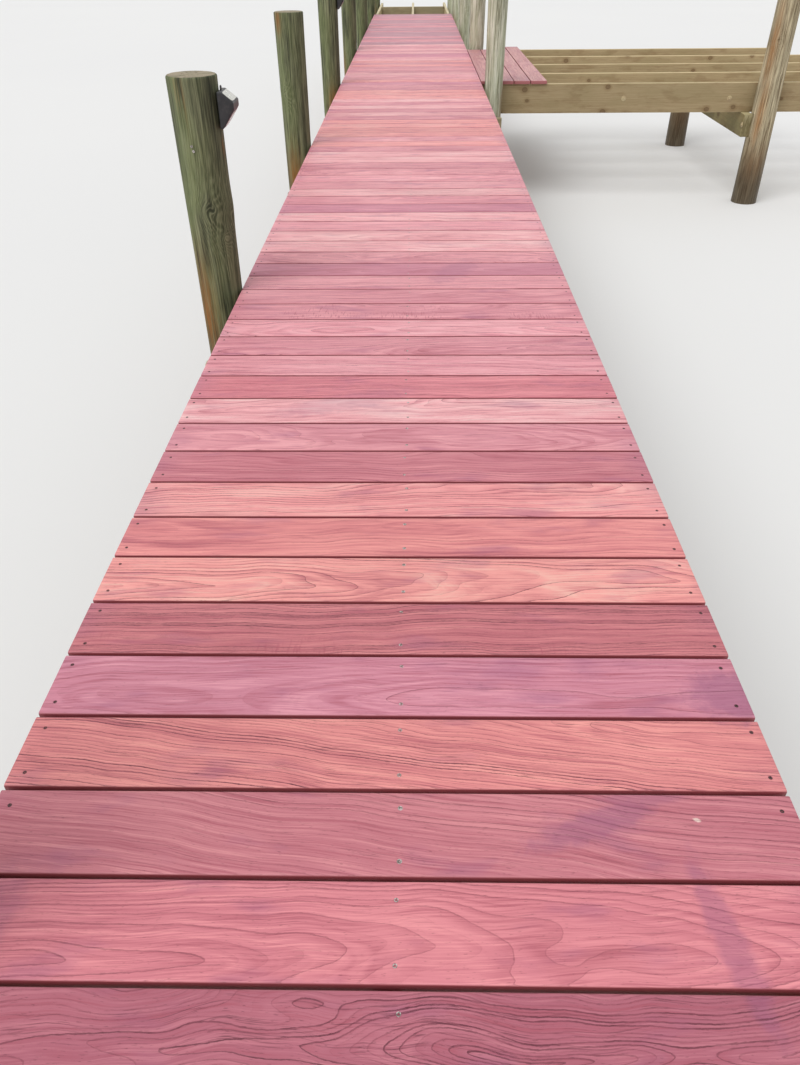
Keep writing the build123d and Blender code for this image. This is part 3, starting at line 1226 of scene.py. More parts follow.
@dataclass
class SawnTimber:
    """One sawn timber on a grid: slightly crooked, with eased arrises and sunk screw seats.

    Its own axes are X along it, Y across it and Z up, from its centre.
    """

    box: Box
    along_walkway: bool
    seed: float
    log_place: LogPlace
    ring_spacing: float
    tone: Colour
    arris: float
    screws: np.ndarray = field(default_factory=lambda: np.zeros((0, 2)))
    end_ease: float = 0.0012
    end_cap: float = 0.35
    crook: float = 0.0006
    rows: int = 14
    steps_across: int = 6
    steps_up: int = 3
    screw_seat: float = 0.0042
    screw_sink: float = 0.0016
    bold: float = 0.9
    sawn_marks: float = 0.0

    @property
    def sides(self) -> tuple[float, float, float]:
        """Length, width and depth in the timber's own axes."""
        x, y, z = self.box.size
        return (y, x, z) if self.along_walkway else (x, y, z)

    def refined(self, end: float, steps: int, lines: np.ndarray) -> np.ndarray:
        """Places from minus an end to the end, with close ones added around each screw line.

        Args:
            end: The last place.
            steps: How many even steps there are.
            lines: Where the screw lines are.

        Returns:
            The places in order. Even ones too near to the close ones are left out.
        """
        reach = self.screw_seat * np.array([-1.1, -0.75, -0.4, 0.0, 0.4, 0.75, 1.1])
        close = (lines[:, None] + reach).ravel()
        even = np.linspace(-end, end, steps + 1)
        gap = np.abs(even[:, None] - close).min(axis=1, initial=np.inf)
        return np.sort(np.append(even[(gap > self.screw_seat / 2) | (abs(even) == end)], close))

    def outline(self) -> tuple[np.ndarray, np.ndarray, np.ndarray, np.ndarray]:
        """The section, counter-clockwise from the bottom: an arris is a quarter circle.

        Returns:
            Places across and up, the arris mask and the top mask, at each point of the section.
        """
        _, width, depth = self.sides
        half, rise, radius = width / 2, depth / 2, self.arris
        inner_half, inner_rise = half - radius, rise - radius
        top = self.refined(inner_half, self.steps_across, np.unique(self.screws[:, 1]))[::-1]
        bottom = np.linspace(-inner_half, inner_half, self.steps_across + 1)
        upright = np.linspace(-inner_rise, inner_rise, self.steps_up + 1)
        turn = np.linspace(0, math.pi / 2, 4)[1:-1]
        sine, cosine = np.sin(turn) * radius, np.cos(turn) * radius
        stretches = [
            (bottom, -rise),
            (inner_half + sine, -inner_rise - cosine),
            (half, upright),
            (inner_half + cosine, inner_rise + sine),
            (top, rise),
            (-inner_half - sine, inner_rise + cosine),
            (-half, upright[::-1]),
            (-inner_half - cosine, -inner_rise - sine),
        ]
        points = [np.stack(np.broadcast_arrays(*stretch)) for stretch in stretches]
        across, up = np.concatenate(points, axis=1)
        near = 1e-6
        arris = (np.abs(across) > inner_half + near) & (np.abs(up) > inner_rise + near)
        return across, up, arris.astype(float), (up > inner_rise + near).astype(float)

    def surface(self) -> Surface:
        """The timber's closed skin at its place.

        The section is carried along X. A slow ripple bends the timber sideways and dips its
        faces, and each screw seat sinks by a smooth bowl: one less the squared share of the
        seat's radius, times the sink.

        Returns:
            The surface, with the values that its finish reads.
        """
        rng = np.random.default_rng(int(self.seed * 1000) + RNG_SEED)
        length, width, depth = self.sides
        across, up, arris, on_top = self.outline()
        end, ease, third = length / 2, self.end_ease, self.end_ease * 0.3
        inner = self.refined(end - ease, self.rows, np.unique(self.screws[:, 0]))
        along = same_ends([-end, -end, -end + third], inner, -1)
        shrink_by = same_ends([0.5, ease, third], np.zeros(len(inner)), 1)
        shrink_across, shrink_up = (
            np.clip(1 - shrink_by / (side / 2), self.end_cap, 1) for side in (width, depth)
        )
        sway = ripple(along, rng, 3, 0.15, 0.7) * self.crook
        dip = -np.abs(ripple(along, rng, 3, 0.2, 0.9)) * self.crook
        shape = (len(along), len(across))
        x = np.broadcast_to(along[:, None], shape)
        y = across * shrink_across[:, None] + sway[:, None] * (1 - 2 * np.abs(across) / width)
        z = up * shrink_up[:, None] + dip[:, None] * on_top
        from_screws = np.hypot(
            x[..., None] - self.screws[:, 0], across[:, None] - self.screws[:, 1]
        ).min(axis=-1, initial=np.inf)
        bowl = np.clip(1 - (from_screws / self.screw_seat) ** 2, 0, 1)
        z = z - bowl * self.screw_sink * on_top
        heart = (self.log_place.across, -self.log_place.depth, self.log_place.tilt, 1.0)
        eased = (shrink_by > 0) & (shrink_by < 0.4)
        numbers = {
            "skew": self.log_place.skew,
            "swell": self.log_place.swell,
            "spacing": self.ring_spacing,
            "seed": self.seed,
            "bold": self.bold,
            "sawn_marks": self.sawn_marks,
            "end_wood": (shrink_by > third * 1.5).astype(float)[:, None],
            "arris": np.maximum(arris, eased[:, None]),
            "top_face": on_top,
        }
        values = over_grid(shape, numbers)
        values["grain"] = np.stack([x, y, z - depth / 2], axis=-1)
        for name, colour in {"heart": heart, "tone": self.tone}.items():
            values[name] = np.broadcast_to(colour, (*shape, 4))
        skin = closed_tube(np.stack([x, y, z], axis=-1), values)
        return skin.placed(self.box.middle, self.along_walkway)

    def screw_places(self) -> np.ndarray:
        """Where the screw heads sit in the frame, on the floor of their seats.

        Returns:
            Their places, as many by three.
        """
        floor = self.sides[2] / 2 - self.screw_sink
        heads = np.pad(self.screws, ((0, 0), (0, 1)), constant_values=floor)
        return carried(heads, self.box.middle, self.along_walkway)


@dataclass
class ScrewHeads:
    """Small countersunk heads with a driver recess."""

    radius: float = 0.0036
    rise: float = 0.0009
    recess: float = 0.0011
    columns: int = 10

    def one(self) -> Surface:
        """One head: a profile from the rim's foot over the rim to the recess, turned about Z.

        Returns:
            The head's closed surface.
        """
        radii = np.array([0.55, 1.0, 0.96, 0.42, 0.3]) * self.radius
        heights = [-0.0006, -0.0002, self.rise, self.rise, self.rise - self.recess]
        return closed_tube(lofted(round_outline(self.columns), radii, heights))

    def build(self, name: str, places: np.ndarray, steel: Material) -> None:
        """Builds the heads at some places as one piece."""
        finished_piece(name, joined([self.one().placed(place) for place in places]), steel)


def screw_grid(lines: np.ndarray, rows: np.ndarray) -> np.ndarray:
    """Every crossing of the lines along a board with the rows across it, as many by two."""
    return np.stack(np.meshgrid(lines, rows, indexing="ij"), axis=-1).reshape(-1, 2)


@dataclass
class Deck:
    """The walkway's boards, bay by bay, with their screws."""

    finish: Material
    steel: Material
    dull_steel: Material
    bay_count: int = 6
    arris: float = 0.0034
    screw_from_end: float = 0.021
    screw_from_centre: float = 0.043
    centre_line: float = 0.012
    jitter: float = 0.004
    dull_and_shaded_far_boards: int = 30
    plain_tones: int = 14
    lift: tuple[float, float] = (0.9, 1.06)
    near_to_far: str = (
        "plum rose wine salmon mauve maroon orange salmon coral wine dusty pale rose pink dusty "
        "pink dusty dusty pink mauve pink pale pale pink pale mauve dusty pale pink"
    )
    rest: str = "pink dusty mauve pale pink dusty coral"
    # The far boards take these darker tones: partly their own duller colour, partly painted shade
    last: str = "dusty heather heather heather"
    near_logs: tuple[LogPlace, ...] = (
        LogPlace(-0.004, 0.03, 0.012, 0.0, 2.6),
        LogPlace(-0.03, 0.052, -0.1, 0.04),
        LogPlace(-0.16, 0.03, 0.02, -0.13),
        LogPlace(0.1, 0.05, 0.02, -0.12),
        LogPlace(-0.03, 0.05, 0.06, 0.0),
        LogPlace(0.16, 0.04, 0.01, 0.02),
        LogPlace(-0.012, 0.06, -0.075, 0.01),
    )
    near_bold: tuple[float, ...] = (1.0, 0.4, 0.5, 1.0, 0.4, 0.95, 0.8)
    near_spacing: tuple[float, ...] = (0.0048, 0.0065, 0.009, 0.0055, 0.009, 0.0034, 0.008)
    spacing: tuple[float, float] = (0.005, 0.009)
    bold: tuple[float, float] = (0.3, 0.95)
    sawn_boards: tuple[int, ...] = (5, 16, 30)
    sawn_share: float = 0.6
    centre_reach: float = 0.1

    def tones(self, rng: np.random.Generator, count: int) -> list[Colour]:
        """The boards' tones: the near ones in the order of the walkway, the rest by chance.

        Args:
            rng: Source of the choice.
            count: How many boards there are.

        Returns:
            One colour for each board, each a little lighter or darker than its tone.
        """
        order, rest, last = (own.split() for own in (self.near_to_far, self.rest, self.last))
        while len(order) < count:
            # The last boards, far off, draw the darker tones: partly duller wood, partly painted
            # shade
            choice = last if len(order) > count - self.dull_and_shaded_far_boards else rest
            order.append(choice[int(rng.integers(len(choice)))])
        tones = [np.array(Tone[name.upper()].value[:3]) for name in order]
        lift = rng.uniform(*self.lift, count - self.plain_tones)
        return [(*tone * by, 1.0) for tone, by in zip(tones, [1.0] * self.plain_tones + list(lift))]

    def board_screws(self, rng: np.random.Generator, length: float) -> np.ndarray:
        """Six screw places on a board: a pair over each stringer, each shifted a little.

        Args:
            rng: Source of the shifts.
            length: The board's length.

        Returns:
            The places along and across the board, six by two.
        """
        end = length / 2 - self.screw_from_end
        lines = np.array([-end, self.centre_line, end]) + rng.uniform(-1, 1, 3) * self.jitter
        rows = np.array([-1, 1]) * self.screw_from_centre + rng.uniform(-1, 1, 2) * self.jitter
        return screw_grid(lines, rows)

    def build(self) -> None:
        """Builds each bay's boards and all their screws."""
        rng = np.random.default_rng(RNG_SEED)
        bays = [f"deck_boards_bay_{bay + 1}" for bay in range(self.bay_count)]
        boxes = {bay: timber_boxes(bay) for bay in bays}
        tones = self.tones(rng, sum(len(own) for own in boxes.values()))
        near = list(zip(self.near_logs, self.near_spacing, self.near_bold))
        places, built = [], 0
        for bay in bays:
            boards = []
            for box in boxes[bay]:
                by_chance = LogPlace.by_chance(rng, box.size[1])
                drawn = (by_chance, rng.uniform(*self.spacing), rng.uniform(*self.bold))
                log_place, spacing, bold = near[built] if built < len(near) else drawn
                seed, tone = rng.uniform(*SEED_RANGE), tones[built]
                screws = self.board_screws(rng, box.size[0])
                board = SawnTimber(
                    box, False, seed, log_place, spacing, tone, self.arris, screws, bold=bold
                )
                board.sawn_marks = self.sawn_share if built in self.sawn_boards else 0.0
                built += 1
                boards.append(board.surface())
                places.append(board.screw_places())
            finished_piece(f"{bay}_sawn", joined(boards), self.finish, bay)
        heads = np.concatenate(places)
        from_centre = np.abs(heads[:, 0] - node_box("stringer_centre").middle[0])
        central = from_centre < self.centre_reach
        ScrewHeads(0.0042).build("deck_screws_centre", heads[central], self.steel)
        ScrewHeads(0.0034).build("deck_screws_ends", heads[~central], self.dull_steel)


@dataclass
class SideBoards:
    """The platform's boards, which run along the walkway, with a pair of screws at each joist."""

    finish: Material
    steel: Material
    screw_from_edge: float = 0.028
    screw_from_end: float = 0.012
    arris: float = 0.0038
    spacing: tuple[float, float] = (0.009, 0.015)
    tones: str = "FADED RUSSET FADED FADED RUSSET"

    def build(self) -> None:
        """Builds the boards and their screws."""
        rng = np.random.default_rng(RNG_SEED + 1)
        joist_lines = np.array([box.middle[1] for box in timber_boxes("side_joists")])
        boards, places = [], []
        for box, tone in zip(timber_boxes("side_boards"), self.tones.split()):
            half = box.size[1] / 2
            lines = joist_lines - box.middle[1]
            last = half - self.screw_from_end
            lines = np.clip(lines[np.abs(lines) < half + 0.01], -last, last)
            rows = np.array([-1, 1]) * (box.size[0] / 2 - self.screw_from_edge)
            seed, log_place = rng.uniform(*SEED_RANGE), LogPlace.by_chance(rng, box.size[0])
            spacing, colour = rng.uniform(*self.spacing), Tone[tone].value
            screws = screw_grid(lines, rows)
            board = SawnTimber(
                box, True, seed, log_place, spacing, colour, self.arris, screws, rows=24
            )
            boards.append(board.surface())
            places.append(board.screw_places())
        finished_piece("side_boards_sawn", joined(boards), self.finish, "side_boards")
        ScrewHeads().build("side_board_screws", np.concatenate(places), self.steel)


@dataclass
class Planks:
    """The planks of one or more nodes: stringers, blocking, caps, joists or the beam's plies."""

    nodes: list[str]
    along_walkway: bool
    slot: str
    finish: Material
    seed: int
    arris: float = 0.0045
    crook: float = 0.0012
    rows: int = 48
    spacing: tuple[float, float] = (0.008, 0.014)
    shade_range: tuple[float, float] = (0.86, 1.0)
    shades: tuple[float, ...] = ()

    def build(self) -> None:
        """Builds each node's planks as one piece."""
        rng = np.random.default_rng(RNG_SEED + self.seed)
        shades = list(self.shades)
        for node in self.nodes:
            planks = []
            for box in timber_boxes(node):
                grey = shades.pop(0) if shades else rng.uniform(*self.shade_range)
                seed = rng.uniform(*SEED_RANGE)
                log_place = LogPlace.by_chance(rng, box.size[2], on_edge=True)
                spacing, tone = rng.uniform(*self.spacing), (grey, grey, grey, 1.0)
                plank = SawnTimber(
                    box, self.along_walkway, seed, log_place, spacing, tone, self.arris,
                    crook=self.crook, rows=self.rows, steps_up=8,
                )
                planks.append(plank.surface())
            finished_piece(f"{node}_sawn", joined(planks), self.finish, node)


# Piles


@dataclass(frozen=True)
class Knot:
    """A knot on a pile: its angle in degrees from +X, its height and its radius."""

    angle: float
    height: float
    radius: float


@dataclass(frozen=True)
class Flat:
    """A flat sawn on one side of a pile, a seat's distance from its line, between two heights."""

    axis: int
    side: int
    seat: float
    low: float
    high: float


@dataclass(frozen=True)
class Stain:
    """A brown stain on a pile: its middle, half width and half height. Angles are in degrees."""

    angle: float
    height: float
    spread: float
    reach: float
    share: float = 1.0

    def mask(self, angle: np.ndarray, height: np.ndarray) -> np.ndarray:
        """How stained each point is: a bell curve by angle times one by height.

        Args:
            angle: Angle of each point.
            height: Height of each point.

        Returns:
            The mask.
        """
        turn = (np.degrees(angle) - self.angle + 180) % 360 - 180
        bell = -((turn / self.spread) ** 2) - ((height - self.height) / self.reach) ** 2
        return np.exp(bell) * self.share


@dataclass
class Pile:
    """One peeled round pile, from the floor to its sawn top."""

    node: str
    growth: float
    seed: int
    slot: str
    flats: list[Flat]
    knots: list[Knot]
    stains: list[Stain]
    columns: int = 72
    row_height: float = 0.022
    worn_edge: float = 0.006
    inset: float = 0.0022
    shoulder: float = 0.0003
    # Angle in degrees of the side that the finish paints in shade
    painted_shade_side: float = 20.0
    oval: float = 0.0011
    trefoil: float = 0.0007
    flute: float = 0.00352
    flutes: tuple[int, ...] = (7, 11, 17, 23)
    most_swelling: float = 0.005
    uneven_top: float = 0.0008

    def knot_pull(self, angle: np.ndarray, height: np.ndarray, radius: float) -> tuple:
        """How the knots bend and darken the surface.

        Fibres part below a knot and gather above it: at a distance (a, b) from it, they shift
        sideways by the knot's radius squared times a, over a squared plus b squared, times a
        share that turns with the height. The shift fades to nothing behind the pile. The
        swelling and the masks fall off as a bell curve, and the knot mask is strongest below.

        Args:
            angle: Angle of each point.
            height: Height of each point.
            radius: The pile's radius.

        Returns:
            The bent angle, the swelling, the knot mask and the mask of the knots' dark eyes.
        """
        bent = angle.copy()
        swell, mask, eye = np.zeros((3, *angle.shape))
        for knot in self.knots:
            turn = (angle - math.radians(knot.angle) + math.pi) % FULL_TURN - math.pi
            a = radius * np.sin(turn)
            front = np.clip(np.cos(turn), 0, 1)
            b = (height - knot.height) * 0.7
            distance = a**2 + b**2
            reach = knot.radius**2
            below = 0.5 - 0.5 * np.tanh(b / knot.radius)
            bent -= (1.5 * below - 0.4) * reach * a / (distance + reach * 0.35) * front / radius
            swell += front * np.exp(-distance / (reach * 2.2)) * knot.radius * 0.22
            mask = np.maximum(mask, front * np.exp(-distance / (reach * 7)) * (0.3 + 0.7 * below))
            eye = np.maximum(eye, front * np.exp(-((a / 0.3) ** 2 + b**2) / (reach * 0.16)))
        return bent, swell, mask, eye

    def side_heights(self, top: float) -> np.ndarray:
        """Heights of the rings up the pile's side, with close ones at the ends of its flats.

        Args:
            top: The pile's height.

        Returns:
            The heights in order, to the foot of the worn edge.
        """
        last = top - self.worn_edge
        heights = np.linspace(0, last, max(8, int(top / self.row_height)))
        for flat in self.flats:
            near = np.abs(heights[:, None] - np.array([flat.low, flat.high])).min(axis=1)
            marks = np.array([flat.low - self.shoulder, flat.low, flat.high, flat.high])
            marks[-1] += self.shoulder
            heights = np.append(heights[near > self.row_height / 3], marks[marks < last])
            heights = np.sort(heights)
        return heights

    def surface(self) -> Surface:
        """The pile's closed skin.

        The radius at an angle and a height grows or shrinks evenly along the pile, plus two low
        lobes, fine flutes that drift with the height, and the knots' swelling. The top ring
        rounds off over the worn edge, and points beyond a flat's seat are pushed back onto it.

        Returns:
            The surface, with the values that its finish reads.
        """
        rng = np.random.default_rng(RNG_SEED + 100 + self.seed)
        box = node_box(self.node)
        top, worn = box.size[2], self.worn_edge
        widest = box.size[0] / 2 - self.inset
        side = self.side_heights(top)
        round_off = np.linspace(0, math.pi / 2, 4)[1:]
        disc = np.array([0.93, 0.72, 0.45, 0.2])
        flat_top = np.ones(len(disc))
        heights = np.concatenate([side, top - worn * (1 - np.sin(round_off)), flat_top * top])
        lost = np.concatenate([side * 0, worn * (1 - np.cos(round_off)), flat_top * worn])
        scale = np.concatenate([np.ones(len(side) + len(round_off)), disc])
        turn = np.arange(self.columns) * FULL_TURN / self.columns
        height, angle = np.meshgrid(heights, turn, indexing="ij")
        radius = widest - max(self.growth, 0) * (top - height) + min(self.growth, 0) * height
        drift = ripple(heights, rng, 2, 0.1, 0.5)[:, None] * 0.5
        phases = rng.uniform(0, FULL_TURN, 8)
        lobes = self.oval * np.cos(2 * angle + phases[0])
        lobes += self.trefoil * np.cos(3 * angle + phases[1] + drift)
        for order, phase in zip(self.flutes, phases[2:6]):
            wander = ripple(heights, rng, 3, 0.3, 1.8)[:, None] * 1.6
            lobes += self.flute / order * np.cos(order * angle + phase + wander)
        bent, swell, mask, eye = self.knot_pull(angle, height, widest)
        lobes += np.minimum(swell, self.most_swelling)
        radius = (radius + lobes - lost[:, None]) * scale[:, None]
        x, y = radius * np.cos(angle), radius * np.sin(angle)
        for flat in self.flats:
            inside = height >= flat.low - self.shoulder / 2
            inside &= height <= flat.high + self.shoulder / 2
            own = (x, y)[flat.axis]
            own[inside & (own * flat.side > flat.seat)] = flat.seat * flat.side
        uneven = self.uneven_top * ripple(angle / FULL_TURN * 3, rng, 3, 1, 3)
        uneven = np.abs(uneven) * (scale < 1)[:, None]
        on_top = np.arange(len(heights)) >= len(side) + len(round_off) - 1
        stains = [own.mask(angle, height) for own in self.stains]
        numbers = {
            "seed": float(self.seed),
            "knot": mask,
            "knot_eye": eye,
            "sawn": on_top[:, None].astype(float),
            "stain": np.max(stains, axis=0),
            # 0 on the side that the finish paints in shade, rising to 1 on the lit side
            "weather": 0.5 - 0.5 * np.cos(angle - math.radians(self.painted_shade_side)),
        }
        values = over_grid(x.shape, numbers)
        values["flow"] = np.stack([widest * np.cos(bent), widest * np.sin(bent), height], axis=-1)
        values["grain"] = np.stack([x, y, height], axis=-1)
        rings = np.stack([x, y, height - uneven], axis=-1)
        return closed_tube(rings, values).placed(box.middle * (1, 1, 0))

    def build(self, finish: Material) -> None:
        """Builds the pile as a piece of its own."""
        finished_piece(f"{self.node}_log", self.surface(), finish, self.node)


@dataclass
class WalkwayPiles:
    """The two rows of walkway piles, each with flats where its bent's cap planks seat."""

    left_finish: Material
    right_finish: Material
    steel: Material
    growth: float = 0.00734
    dap_clearance: float = 0.004
    near_pile: int = 2
    near_knots: tuple = (Knot(-74, 1.312, 0.03), Knot(-14, 1.292, 0.028), Knot(-44, 1.215, 0.014))
    near_stains: tuple = (
        Stain(-130, 0.93, 32, 0.19),
        Stain(-101, 1.63, 3, 0.075, 0.35),
        Stain(-112, 1.66, 2.5, 0.05, 0.3),
        Stain(-120, 1.67, 3, 0.06, 0.3),
        Stain(-14, 1.49, 6, 0.03, 0.5),
    )
    nails: tuple = ((-98.0, 1.503), (-95.0, 1.488))
    nail_radius: float = 0.0046
    nail_sink: float = 0.001

    def random_knots(self, rng: np.random.Generator, top: float) -> list[Knot]:
        """A few knots by chance, in a whorl and alone.

        Args:
            rng: Source of the choice.
            top: The pile's height.

        Returns:
            The knots.
        """
        whorl = rng.uniform(0.35, 0.9) * top
        angles = rng.uniform(0, 360) + np.array([0, 120, 215]) + rng.uniform(-20, 20, 3)
        knots = [
            Knot(angle, whorl + rng.uniform(-0.05, 0.05), rng.uniform(0.011, 0.02))
            for angle in angles
        ]
        return knots + [Knot(rng.uniform(0, 360), rng.uniform(0.2, 0.95) * top, 0.012)]

    def build(self) -> None:
        """Builds all walkway piles, bent by bent, then the nails in the near one."""
        rng = np.random.default_rng(RNG_SEED + 2)
        for bent in BENTS:
            near_cap, far_cap = timber_boxes(f"cap_planks_{bent}")
            for row, finish in (("left", self.left_finish), ("right", self.right_finish)):
                node = f"{row}_pile_{bent}"
                line, top = node_box(node).middle[1], node_box(node).size[2]
                low, high = near_cap.low[2], near_cap.high[2] + self.dap_clearance
                seats = {-1: line - near_cap.high[1], 1: far_cap.low[1] - line}
                if high >= top:
                    high, seats[1] = top + PAST_TOP, seats[-1]
                flats = [Flat(1, side, seat, low, high) for side, seat in seats.items()]
                knots = self.random_knots(rng, top)
                stains = [
                    Stain(rng.uniform(-180, 180), 0.82, 40, 0.17),
                    Stain(rng.uniform(-180, 180), top - 0.04, 14, 0.07),
                ]
                slot, seed = f"{row}_pile_timber", bent * 2 + (row == "right")
                pile = Pile(node, self.growth, seed, slot, flats, knots, stains)
                if row == "left" and bent == self.near_pile:
                    pile.knots, pile.stains = self.near_knots, self.near_stains
                    pile.columns, pile.row_height = 168, 0.0065
                pile.build(finish)
        self.nail(node_box(f"left_pile_{self.near_pile}"))

    def nail(self, box: Box) -> None:
        """Builds the nail heads in a pile's side, each facing out from the pile's middle.

        Args:
            box: The pile's box.
        """
        copies = []
        for turn, height in self.nails:
            way = np.array([math.cos(math.radians(turn)), math.sin(math.radians(turn)), 0.0])
            radius = box.size[0] / 2 - self.growth * (box.size[2] - height) - self.nail_sink
            place = np.array([box.middle[0], box.middle[1], height]) + way * radius
            copies.append(ScrewHeads(self.nail_radius).one().faced(place, way))
        finished_piece("near_pile_nails", joined(copies), self.steel)


@dataclass
class SidePiles:
    """The two stouter piles that carry the side beam, with flats for the beam and a joist."""

    finish: Material
    growth: float = -0.01057
    dap_clearance: float = 0.004
    slot: str = "side_pile_timber"
    tall_knots: tuple = (
        Knot(-120, 1.32, 0.02),
        Knot(-60, 1.05, 0.014),
        Knot(-150, 0.55, 0.016),
        Knot(60, 0.9, 0.018),
    )
    short_knots: tuple = (Knot(-100, 0.4, 0.018),)
    stains: tuple = (
        Stain(-100, 0.3, 60, 0.2, 0.8),
        Stain(-140, 1.25, 20, 0.32),
        Stain(-128, 0.75, 18, 0.28),
    )

    def build(self) -> None:
        """Builds both piles."""
        beam, joist = node_box("side_beam_ply_2"), timber_boxes("side_joists")[0]
        tall = node_box("side_pile_tall")
        seat, joist_seat = tall.middle[0] - beam.high[0], joist.low[1] - tall.middle[1]
        flats = [
            Flat(0, -1, seat, beam.low[2], beam.high[2] + self.dap_clearance),
            Flat(1, 1, joist_seat, joist.low[2], joist.high[2] + self.dap_clearance),
        ]
        pile = Pile(
            "side_pile_tall", self.growth, 40, self.slot, flats, self.tall_knots, self.stains
        )
        pile.columns, pile.row_height = 96, 0.012
        pile.build(self.finish)
        flats = [Flat(0, -1, seat, beam.low[2], beam.high[2] + PAST_TOP)]
        pile = Pile(
            "side_pile_short", self.growth, 41, self.slot, flats, self.short_knots, self.stains[:1]
        )
        pile.build(self.finish)


# Fastenings and lights


class Way(Enum):
    """The way that a bolt head faces, as a unit vector."""

    NEAR = (0.0, -1.0, 0.0)
    FAR = (0.0, 1.0, 0.0)
    LEFT = (-1.0, 0.0, 0.0)


@dataclass
class HexBolts:
    """Hexagon heads on round washers, joined into one piece."""

    name: str
    flats: float = 0.019
    head: float = 0.008
    washer_radius: float = 0.0195
    washer: float = 0.0022
    upright: float = 0.8
    cut_back: float = 0.93
    washer_cut_back: float = 0.95
    columns: int = 12

    def one(self) -> Surface:
        """A washer and a head along Z.

        The head's radius at an angle is half its width across flats over the cosine of the angle
        to the nearest flat's middle, and its top corners are cut back to a circle.

        Returns:
            The two closed shapes as one surface.
        """
        circle, sixth = round_outline(self.columns), math.pi / 3
        turn = np.arange(self.columns) * FULL_TURN / self.columns
        hexagon = circle / np.cos((turn + sixth / 2) % sixth - sixth / 2)[:, None]
        radius, half, foot = self.washer_radius, self.flats / 2, self.washer
        radii = [radius, radius, radius * self.washer_cut_back]
        washer = lofted(circle, radii, [0.0, foot * self.upright, foot])
        heights = [foot, foot + self.head * self.upright, foot + self.head]
        head = lofted(hexagon, [half, half, half], heights)
        head[-1, :, :2] = circle * (half * self.cut_back)
        return joined([closed_tube(washer), closed_tube(head)])

    def build(self, places: list[tuple[tuple, Way]], steel: Material) -> None:
        """Builds the bolts, each turned a little by chance.

        Args:
            places: Where each bolt's washer rests, and the way that it faces.
            steel: Their finish.
        """
        rng = np.random.default_rng(RNG_SEED + 3)
        bolt = self.one()
        copies = [
            bolt.faced(np.array(place), np.array(way.value), rng.uniform(0, math.pi / 3))
            for place, way in places
        ]
        finished_piece(self.name, joined(copies), steel)


@dataclass
class Bolts:
    """Where the through-bolts go: the cap planks, the joists' ends and the beam."""

    steel: Material
    from_middle: float = 0.046
    stagger: float = 0.02
    joist_bolts: tuple = ((0.148, 0.8553), (1.082, 0.8503))
    beam_bolt: tuple = (-1.2405, 0.6546)

    def build(self) -> None:
        """Builds the bolts of the caps, then those of the platform."""
        caps = []
        for bent in BENTS:
            near_cap, far_cap = timber_boxes(f"cap_planks_{bent}")
            for row in ("left", "right"):
                middle = node_box(f"{row}_pile_{bent}").middle[0]
                for side in (-1, 1):
                    x = middle + side * self.stagger
                    z = near_cap.middle[2] + side * self.from_middle
                    caps.append(((x, near_cap.low[1], z), Way.NEAR))
                    caps.append(((x, far_cap.high[1], z), Way.FAR))
        HexBolts("cap_bolts").build(caps, self.steel)
        face = timber_boxes("side_joists")[0].low[1]
        platform = [((x, face, z), Way.NEAR) for x, z in self.joist_bolts]
        side, (line, height) = node_box("side_beam_ply_1").low[0], self.beam_bolt
        for y in (line, node_box("side_pile_short").middle[1]):
            platform.append(((side, y, height), Way.LEFT))
        HexBolts("platform_bolts", washer_radius=0.0225).build(platform, self.steel)


